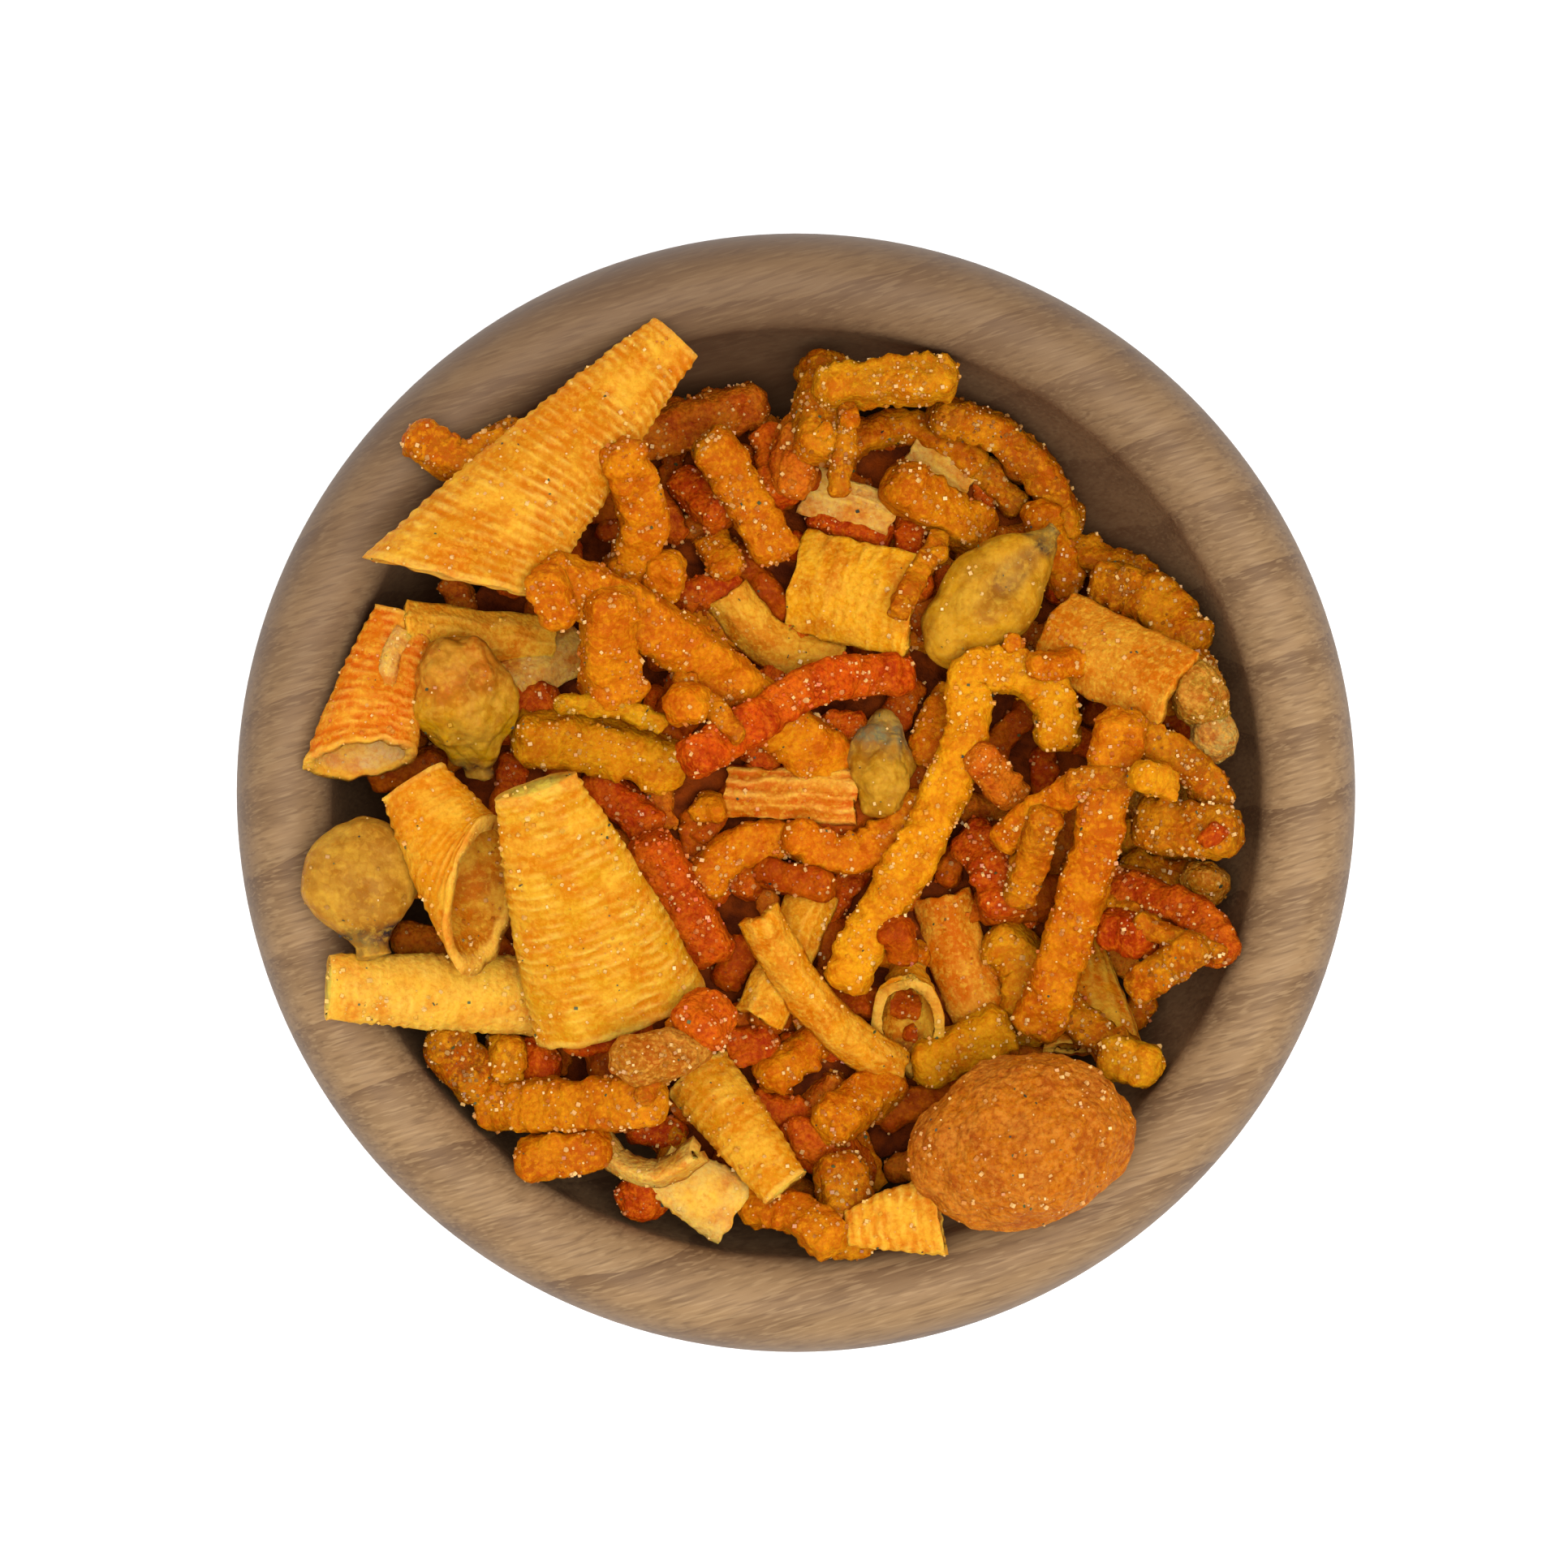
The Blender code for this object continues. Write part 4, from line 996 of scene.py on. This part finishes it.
def bits():
    draw = random.Random(BIT_SEED)
    found = []
    for i in range(BIT_COUNT):
        radius = BIT_SPREAD * math.sqrt((i + 0.5) / BIT_COUNT)
        turn, spread = draw.uniform(0, math.pi), i * GOLDEN_ANGLE
        middle = np.array([math.cos(spread), math.sin(spread)]) * radius
        half = np.array([math.cos(turn), math.sin(turn)]) * draw.uniform(*BIT_HALF_LENGTHS)
        path = smooth_path((middle - half, middle + half), PATH_STEP)
        levels = core_top(path[:, 0], path[:, 1]) + draw.uniform(*BIT_LEVELS)
        bit = stick(draw.uniform(*BIT_WIDTHS), *path, look=draw.choice(BIT_LOOKS))
        found.append((bit, np.column_stack([path, levels])))
    return found


laid += bits()
print(len(laid), "pieces with the broken bits")

# %% Make every piece
PIECE_SEED = 3
MOST_WARMTH = 0.12

draw = random.Random(PIECE_SEED)
parts = {}
for number, (piece, line) in enumerate(laid):
    colour = linear(*LOOKS[piece["look"]])
    warmth = draw.uniform(-MOST_WARMTH, MOST_WARMTH)
    colour = mix(colour, PAPRIKA if warmth > 0 else CHEESE, abs(warmth))
    made = MAKERS[piece["kind"]](piece, line, colour, draw)
    parts.setdefault(group_of(piece), []).append(object_from(made, f"piece_{number}"))
food = {name: joined(name, members) for name, members in parts.items()}
for name, made in food.items():
    keep_off_bowl(made.data)
    # Painted shade: these groups get darker towards the wall, where the rim shades them.
    if name in SHADE_PAINTED_GROUPS:
        paint_shade_outwards(made.data)
    triangles = sum(len(face.vertices) - 2 for face in made.data.polygons)
    print(name, len(parts[name]), "pieces,", triangles, "triangles")

# %% [markdown]
# ## The core
#
# Under the visible pieces the mix goes on, but nothing of it can be told apart from above. A spun
# mound with a rough top stands for it, a little lower than the lowest pieces. Its dark red brown is
# painted shade over the mix's own red orange.

# %% A mound of crumbs, dark with painted shade
CORE_TOP_RADIUS = 34.5
CORE_TOP_STEP = 0.75
CORE_SIDE_TOP = 26
CORE_SIDE_POINTS = 10
CORE_TOP_FROM = 30
CORE_DROP = 0.6
CORE_BUMPS = ((3, 1.1, 0), (1.1, 0.5, 4))


def core_section():
    floor = FLOOR_LEVEL + CORE_GAP
    top = [(r, CORE_EDGE_LEVEL) for r in np.arange(0, CORE_TOP_RADIUS, CORE_TOP_STEP)]
    levels = np.linspace(CORE_SIDE_TOP, floor, CORE_SIDE_POINTS)[:-1]
    return top + [(float(wall_radius(z)), z) for z in levels] + [(0, floor)]


core = spun(core_section(), "painted_shade_core")
bm = bmesh.new()
bm.from_mesh(core.data)
for vert in bm.verts:
    if vert.co.z > CORE_TOP_FROM * MM:
        x, y = vert.co.x / MM, vert.co.y / MM
        bumps = sum(depth * noise.noise((x / size, y / size, z)) for size, depth, z in CORE_BUMPS)
        vert.co.z = (float(core_top(x, y)) - CORE_DROP + bumps) * MM
bm.to_mesh(core.data)
bm.free()
keep_off_bowl(core.data)
print("core:", len(core.data.polygons), "faces")

# %% [markdown]
# ## Salt, sugar and herbs
#
# The photograph shows very many fine grains on the skins and a few dark green flecks. Each grain is
# a tiny crystal of twelve triangles, laid on a point of a skin that is open to the air above it. Its
# colour lies between that of the skin and a pale crystal, because seasoning sticks to most of them.
# A texture alone could not catch the light on their edges.

# %% Scatter grains over the open skins
GRAIN_COUNT = 6500
GRAIN_SIZES = (0.1, 0.34)
FLECK_COUNT = 260
FLECK_SIZES = (0.12, 0.3)
GRAIN_SEED = 11
CLUSTER_SIZE = 2.4
CLUSTER_LIMITS = (-0.35, 0.5)
PICKS_A_GRAIN = 8
LEAST_UPWARD = 0.25
RAY_START = 0.0003
RAY_REACH = 0.05
GRAIN_LIFT = 0.2
GRAIN_LENGTHS = (0.6, 1.3)
SALTED = {"orange_sticks": 1.0, "golden_sticks": 1.0, "shaded_deep_sticks": 0.6, "red_sticks": 1.0,
          "corn_cones": 0.3, "corn_crisps": 0.2, "small_nuts": 0.8, "coated_peanut": 0.45,
          "toasted_kernels": 0.12}
CRYSTAL = linear(255, 204, 124)


def tints_of(mesh):
    """The tint of each face, taken at its first corner."""
    tints, corners = np.zeros(len(mesh.vertices) * 4), np.zeros(len(mesh.loops), int)
    starts = np.zeros(len(mesh.polygons), int)
    mesh.attributes["tint"].data.foreach_get("color", tints)
    mesh.loops.foreach_get("vertex_index", corners)
    mesh.polygons.foreach_get("loop_start", starts)
    return tints.reshape(-1, 4)[corners[starts], :3]


def open_points(count, seed, shares):
    """Open points on the pieces, in clusters, each with its normal and the skin's tint there."""
    bm = bmesh.new()
    for made in food.values():
        bm.from_mesh(made.data)
    tree = BVHTree.FromBMesh(bm)
    bm.free()
    centres, normals, areas, tints = [], [], [], []
    for name, share in shares.items():
        mesh = food[name].data
        total = len(mesh.polygons)
        for kept, key, width in ((centres, "center", 3), (normals, "normal", 3), (areas, "area", 1)):
            values = np.zeros(total * width)
            mesh.polygons.foreach_get(key, values)
            kept.append(values.reshape(total, width) * (share if key == "area" else 1))
        tints.append(tints_of(mesh))
    centres, normals, tints = np.vstack(centres), np.vstack(normals), np.vstack(tints)
    weight = np.vstack(areas)[:, 0] * np.clip(normals[:, 2] + LEAST_UPWARD, 0, 1)
    chance = np.random.default_rng(seed)
    picks = chance.choice(len(weight), size=count * PICKS_A_GRAIN, p=weight / weight.sum())
    limits = chance.uniform(*CLUSTER_LIMITS, len(picks))
    found = []
    for pick, limit in zip(picks, limits):
        place, normal = Vector(centres[pick]), Vector(normals[pick])
        if noise.noise(place / MM / CLUSTER_SIZE) < limit:
            continue
        above = tree.ray_cast(place + normal * RAY_START, Vector((0, 0, 1)), RAY_REACH)
        if above[0] is None:
            found.append((place / MM, normal, tints[pick]))
            if len(found) == count:
                break
    return found


def grains(points, sizes, seed, name, flat=1.0):
    """Small boxes with random turns, sizes and paleness on the given points, as one mesh."""
    draw = random.Random(seed)
    bm = bmesh.new()
    layer = bm.verts.layers.float_color.new("tint")
    bmesh.ops.create_cube(bm, size=1.0)
    corners = [vert.co.copy() for vert in bm.verts]
    while len(bm.faces) < 6 * len(points):
        bmesh.ops.duplicate(bm, geom=bm.verts[:] + bm.edges[:] + bm.faces[:])
    verts = bm.verts[:]
    bmesh.ops.delete(bm, geom=verts[8 * len(points):], context="VERTS")
    for (place, normal, skin), first in zip(points, range(0, 8 * len(points), 8)):
        size = sizes[0] + (sizes[1] - sizes[0]) * draw.random() ** 2
        shade = (*mix(skin, CRYSTAL, draw.random() ** 2), 1)
        axis = Vector([draw.uniform(-1, 1) for _ in range(3)])
        turn = Matrix.Rotation(draw.uniform(0, math.pi), 3, axis)
        shape = Vector((size * draw.uniform(*GRAIN_LENGTHS), size, size * flat))
        for vert, corner in zip(verts[first:first + 8], corners):
            vert.co = place + normal * size * GRAIN_LIFT + turn @ (corner * shape)
            vert[layer] = shade
    return object_from(bm, name, smooth=False)


salt = grains(open_points(GRAIN_COUNT, GRAIN_SEED, SALTED), GRAIN_SIZES, GRAIN_SEED, "salt_grains")
herbs = grains(open_points(FLECK_COUNT, GRAIN_SEED + 1, dict.fromkeys(food, 1.0)), FLECK_SIZES,
               GRAIN_SEED + 1, "herb_flecks", flat=0.3)
print("grains:", len(salt.data.polygons) // 6, "flecks:", len(herbs.data.polygons) // 6)

# %% [markdown]
# ## Finishes
#
# Every finish is built from noise on the object's own coordinates, so it stays in place from any
# side. A small helper adds a node and sets its sockets by name, which keeps each recipe short.

# %% Node helpers
class Finish:
    """A material with a Principled shader, to which nodes are added one by one."""

    def __init__(self, name, roughness, **sockets):
        self.material = bpy.data.materials.new(name)
        self.material.use_nodes = True
        self.tree = self.material.node_tree
        self.shader = self.tree.nodes["Principled BSDF"]
        self.shader.inputs["Roughness"].default_value = roughness
        for socket, value in sockets.items():
            self.shader.inputs[socket.replace("_", " ")].default_value = value
        self.place = self.tree.nodes.new("ShaderNodeTexCoord").outputs["Object"]

    def node(self, kind, settings=None, **inputs):
        made = self.tree.nodes.new("ShaderNode" + kind)
        for key, value in (settings or {}).items():
            setattr(made, key, value)
        for key, value in inputs.items():
            self.feed(made.inputs[key.replace("_", " ")], value)
        return made

    def feed(self, socket, value):
        if isinstance(value, bpy.types.NodeSocket):
            self.tree.links.new(value, socket)
        else:
            socket.default_value = value

    def in_mm(self, stretch=(1, 1, 1), turn=0.0):
        """The place in mm, along axes turned about Z and stretched."""
        made = self.node("Mapping", {"vector_type": "TEXTURE"}, Vector=self.place,
                         Rotation=(0, 0, turn), Scale=[MM * part for part in stretch])
        return made.outputs[0]

    def noise(self, size, detail=2.0, stretch=(1, 1, 1), turn=0.0, roughness=0.5):
        """Noise whose features are about the given size in mm, stretched along the axes."""
        made = self.node("TexNoise", Vector=self.in_mm(stretch, turn), Scale=1 / size, Detail=detail,
                         Roughness=roughness)
        return made.outputs["Fac"]

    def blend(self, base, other, factor):
        made = self.node("Mix", {"data_type": "RGBA"})
        self.feed(made.inputs["Factor"], factor)
        self.feed(made.inputs[6], base)
        self.feed(made.inputs[7], other)
        return made.outputs[2]

    def over(self, base, other, value, *stops):
        """Lay a colour over another as far as two (position, level) stops of the value say."""
        ramp = self.node("ValToRGB", Fac=value)
        for element, (position, level) in zip(ramp.color_ramp.elements, stops):
            element.position = position
            element.color = (level, level, level, 1)
        return self.blend(base, other, ramp.outputs["Color"])

    def bump(self, height, distance, strength=1.0, below=None):
        made = self.node("Bump", Height=height, Distance=distance * MM, Strength=strength)
        if below:
            self.feed(made.inputs["Normal"], below)
        return made.outputs[0]

    def done(self, colour, normal=None):
        self.feed(self.shader.inputs["Base Color"], colour)
        if normal:
            self.feed(self.shader.inputs["Normal"], normal)
        return self.material


def rgba(red, green, blue):
    return (*linear(red, green, blue), 1)


# %% [markdown]
# The bowl is an oiled, fine-grained wood, greyish brown. Its growth rings cross the rim as bands that
# darken slowly and end sharply, which is what a saw-toothed wave gives. Short pores and fibres all
# run the same way. Inside the rim the wood is darker: painted shade of the steep inner wall and the
# heap. The far side and the outer edge, where the rim turns down, are a little darker too: painted
# shade.

# %% Wood
GRAIN_TURN = math.radians(17)
RING_WIDTH = 7.0
WAVE_PERIOD = 0.314
WALL_SHADE_INNER = 38.2
WALL_SHADE_OUTER = 41.5
EDGE_SHADE_FROM = 47.2
SHADE_FROM = -5.0


def wood_finish():
    finish = Finish("oiled_wood", 0.55, Specular_IOR_Level=0.1)
    rings = finish.node("TexWave", {"wave_type": "BANDS", "bands_direction": "Y",
                                    "wave_profile": "SAW"},
                        Vector=finish.in_mm(turn=GRAIN_TURN), Scale=WAVE_PERIOD / RING_WIDTH,
                        Distortion=2.2, Detail=1.0, Detail_Scale=1.4).outputs["Fac"]
    bands = finish.noise(2.2, 3, stretch=(9, 1, 2), turn=GRAIN_TURN)
    fibres = finish.noise(0.32, 2, stretch=(13, 1, 3), turn=GRAIN_TURN)
    pores = finish.noise(0.24, 1, stretch=(10, 1, 3), turn=GRAIN_TURN)
    colour = finish.over(rgba(160, 126, 88), rgba(112, 82, 58), rings, (0.35, 0), (1.0, 0.75))
    colour = finish.over(colour, rgba(174, 138, 98), bands, (0.42, 0), (0.75, 0.8))
    colour = finish.over(colour, rgba(104, 75, 52), fibres, (0.46, 0), (0.7, 0.5))
    colour = finish.over(colour, rgba(186, 152, 110), pores, (0.34, 0.45), (0.46, 0))
    # Painted shade: the far side of the bowl a little darker, as the light falls.
    across = finish.node("SeparateXYZ", Vector=finish.in_mm(turn=GRAIN_TURN)).outputs["Y"]
    far_side_shade = finish.node("MapRange", Value=across, From_Min=SHADE_FROM, From_Max=BOWL_RADIUS, To_Max=0.7)
    colour = finish.blend(colour, rgba(104, 78, 58), far_side_shade.outputs[0])
    flat = finish.node("VectorMath", {"operation": "MULTIPLY"}).outputs[0]
    finish.feed(flat.node.inputs[0], finish.in_mm())
    flat.node.inputs[1].default_value = (1, 1, 0)
    reach = finish.node("VectorMath", {"operation": "LENGTH"})
    finish.feed(reach.inputs[0], flat)
    # Painted shade on the inner wall below the lip, where the wall and the heap shade it.
    inner_wall_shade = finish.node("MapRange", Value=reach.outputs["Value"], From_Min=WALL_SHADE_INNER,
                        From_Max=WALL_SHADE_OUTER, To_Min=0.58, To_Max=0.0)
    colour = finish.blend(colour, rgba(106, 62, 34), inner_wall_shade.outputs[0])
    # Painted shade on the outer edge, where the rim turns down away from the light.
    edge = finish.node("MapRange", Value=reach.outputs["Value"], From_Min=EDGE_SHADE_FROM,
                       From_Max=BOWL_RADIUS, To_Max=0.6)
    colour = finish.blend(colour, rgba(92, 68, 50), edge.outputs[0])
    return finish.done(colour, finish.bump(fibres, -0.03, 0.6))


bowl.data.materials.append(wood_finish())

# %% [markdown]
# The food finishes all start from the tint that each vertex carries. Soft blotches make it deeper
# where the seasoning is thick, and pale clouds lighten it where the seasoning has rubbed off. A fine
# grain and round crumbs break up both, lighter on their raised parts and deeper in the pits between
# them: painted highlight and painted shade. A little light is let in under the skin, as in real food.


# %% Crumbly skins
GLOW = 0.3
GLOW_DEPTH = 1.2
CRUMB_SIZE = 0.8
CRUMB_SHARE = 0.6


def skin_finish(name, deep, light, grain_size, bump_depth, roughness=0.55, blotch=0.62, grit=0.7,
                pale=0.4):
    """A skin that starts from the vertices' tint, with a deep and a light colour over it in noise."""
    finish = Finish(name, roughness, Specular_IOR_Level=0.03, Subsurface_Weight=GLOW,
                    Subsurface_Scale=GLOW_DEPTH * MM)
    tint = finish.node("Attribute", {"attribute_name": "tint"}).outputs["Color"]
    blotches = finish.noise(2.6, 3)
    grain = finish.noise(grain_size, 3, roughness=0.65)
    crumbs = finish.node("TexVoronoi", Vector=finish.in_mm(), Scale=1 / (CRUMB_SIZE * grain_size))
    single = finish.node("SeparateColor", Color=crumbs.outputs["Color"]).outputs["Red"]
    clouds = finish.noise(3.7, 2)
    colour = finish.over(tint, deep, blotches, (0.46, 0), (0.62, blotch))
    colour = finish.over(colour, light, clouds, (0.48, 0), (0.64, pale))
    # Painted highlight on the grain's raised parts, painted shade in its pits and between the crumbs,
    # all following the bumps.
    colour = finish.over(colour, light, grain, (0.5, 0), (0.66, grit))
    colour = finish.over(colour, deep, grain, (0.34, grit), (0.46, 0))
    colour = finish.over(colour, light, single, (0.72, 0), (0.95, CRUMB_SHARE * grit))
    colour = finish.over(colour, deep, crumbs.outputs["Distance"], (0.5, 0), (0.8, CRUMB_SHARE * grit))
    normal = finish.bump(grain, bump_depth)
    normal = finish.bump(crumbs.outputs["Distance"], -CRUMB_SHARE * bump_depth, below=normal)
    return finish.done(colour, normal)


FOOD_FINISHES = {
    "orange_sticks": skin_finish("fried_corn_stick", rgba(190, 82, 1), rgba(246, 160, 16), 0.55, 0.16,
                                 grit=0.5),
    "golden_sticks": skin_finish("golden_corn_stick", rgba(200, 98, 1), rgba(248, 176, 22), 0.55, 0.16,
                                 grit=0.5),
    # Painted shade: a darker copy of the stick skin for the sticks that lie deep in the heap.
    "shaded_deep_sticks": skin_finish("shaded_deep_corn_stick", rgba(156, 56, 2), rgba(216, 112, 6), 0.55, 0.16,
                               grit=0.5),
    "red_sticks": skin_finish("chilli_corn_stick", rgba(156, 34, 2), rgba(232, 118, 14), 0.5, 0.18,
                              grit=0.55),
    "corn_cones": skin_finish("puffed_corn_sheet", rgba(216, 112, 2), rgba(254, 196, 56), 0.5, 0.1,
                              roughness=0.5, blotch=0.6, grit=0.35, pale=0.5),
    "corn_crisps": skin_finish("ridged_corn_sheet", rgba(212, 108, 2), rgba(254, 198, 60), 0.5, 0.12,
                               blotch=0.75, grit=0.45, pale=0.3),
    "toasted_kernels": skin_finish("toasted_kernel_skin", rgba(164, 98, 14), rgba(234, 178, 56), 0.8,
                                   0.09, roughness=0.35, blotch=0.65, grit=0.4, pale=0.4),
    "small_nuts": skin_finish("seasoned_nut", rgba(176, 80, 6), rgba(236, 166, 60), 0.5, 0.2),
    "coated_peanut": skin_finish("crumb_coat", rgba(162, 70, 10), rgba(222, 138, 44), 0.6, 0.22,
                                 roughness=0.6, blotch=0.6, pale=0.35),
}
for name, finish in FOOD_FINISHES.items():
    food[name].data.materials.clear()
    food[name].data.materials.append(finish)

# %% [markdown]
# The core is almost hidden; its dark red brown is painted shade. The grains of salt and sugar take
# their tint from their own vertices and are glossier than the skins. Herbs are flat and dark green.


# %% Core, grains and flecks
def core_finish():
    finish = Finish("core_crumbs", 0.8, Specular_IOR_Level=0.05)
    blotches = finish.noise(2.2, 3)
    grain = finish.noise(0.6, 3)
    # Painted shade: both colours are much darker than the pieces of the mix they stand for.
    colour = finish.over(rgba(84, 30, 4), rgba(146, 60, 5), blotches, (0.4, 0), (0.7, 1))
    return finish.done(colour, finish.bump(grain, 0.3))


def crystal_finish():
    finish = Finish("salt_and_sugar", 0.3, Specular_IOR_Level=0.25)
    return finish.done(finish.node("Attribute", {"attribute_name": "tint"}).outputs["Color"])


def herb_finish():
    finish = Finish("dried_herb", 0.7)
    cloud = finish.noise(1.2, 2)
    return finish.done(finish.over(rgba(40, 34, 12), rgba(86, 92, 28), cloud, (0.35, 0), (0.65, 1)))


core.data.materials.append(core_finish())
salt.data.materials.append(crystal_finish())
herbs.data.materials.append(herb_finish())
print(len(bpy.data.materials), "materials in the file")

# %% [markdown]
# ## Everything rides with the part
#
# The part has no joints, so there is one body. The turned bowl stands for its plain solid, and the
# pieces of food together stand for the fused heap.

# %% Tell the frame what stands for what
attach(bowl, "root")
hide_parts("bowl")
for made in (*food.values(), core, salt, herbs):
    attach(made, "root")
    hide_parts("snack_mix")

# %% [markdown]
# ## Floor, light and camera
#
# The photograph was taken from straight above on a white ground, in soft light. A disk lamp at the
# lower right gives most of it, a wider one at the upper left softens the shadows, and a pale world
# fills them. The lens and the height of the camera give the same perspective as the picture.

# %% Stage
FLOOR_SIZE = 3.0
FLOOR_WHITE = (0.95, 0.95, 0.95, 1)
LIGHT_AIM = (0, 0, 0.04)
WORLD_WHITE = (1.0, 1.0, 1.0, 1)
WORLD_STRENGTH = 1.02

bpy.ops.mesh.primitive_plane_add(size=FLOOR_SIZE)
floor = bpy.context.object
floor.name = "pale_floor"
floor_paint = bpy.data.materials.new("pale_floor")
floor_paint.use_nodes = True
floor_paint.node_tree.nodes["Principled BSDF"].inputs["Base Color"].default_value = FLOOR_WHITE
floor_paint.node_tree.nodes["Principled BSDF"].inputs["Roughness"].default_value = 0.9
floor.data.materials.append(floor_paint)


def soft_light(name, place, size, power):
    light = bpy.data.lights.new(name, "AREA")
    light.shape = "DISK"
    light.size = size
    light.energy = power
    lamp = bpy.data.objects.new(name, light)
    lamp.location = place
    lamp.rotation_euler = (Vector(LIGHT_AIM) - Vector(place)).to_track_quat("-Z", "Y").to_euler()
    bpy.context.scene.collection.objects.link(lamp)


soft_light("window", (0.10, -0.10, 0.62), size=0.5, power=3.9)
soft_light("ceiling", (-0.16, 0.10, 0.80), size=0.8, power=1.8)
world = bpy.data.worlds.new("pale_room")
world.use_nodes = True
world.node_tree.nodes["Background"].inputs["Color"].default_value = WORLD_WHITE
world.node_tree.nodes["Background"].inputs["Strength"].default_value = WORLD_STRENGTH
bpy.context.scene.world = world
bpy.context.scene.view_settings.view_transform = "Standard"

# %% Camera
CAMERA_PLACE = (-1.07, 0.78, 376.0)
PIXELS_OF_FOCUS = 4656.0
PIXELS_WIDE = 1932
SENSOR_WIDTH = 36.0

lens = bpy.data.cameras.new("camera")
lens.sensor_width = SENSOR_WIDTH
lens.lens = SENSOR_WIDTH * PIXELS_OF_FOCUS / PIXELS_WIDE
lens.clip_start = 0.01
camera = bpy.data.objects.new("camera", lens)
camera.location = [part * MM for part in CAMERA_PLACE]
bpy.context.scene.collection.objects.link(camera)
bpy.context.scene.camera = camera
print("lens:", round(lens.lens, 1), "mm")

# %% Finish
bpy.context.view_layer.update()
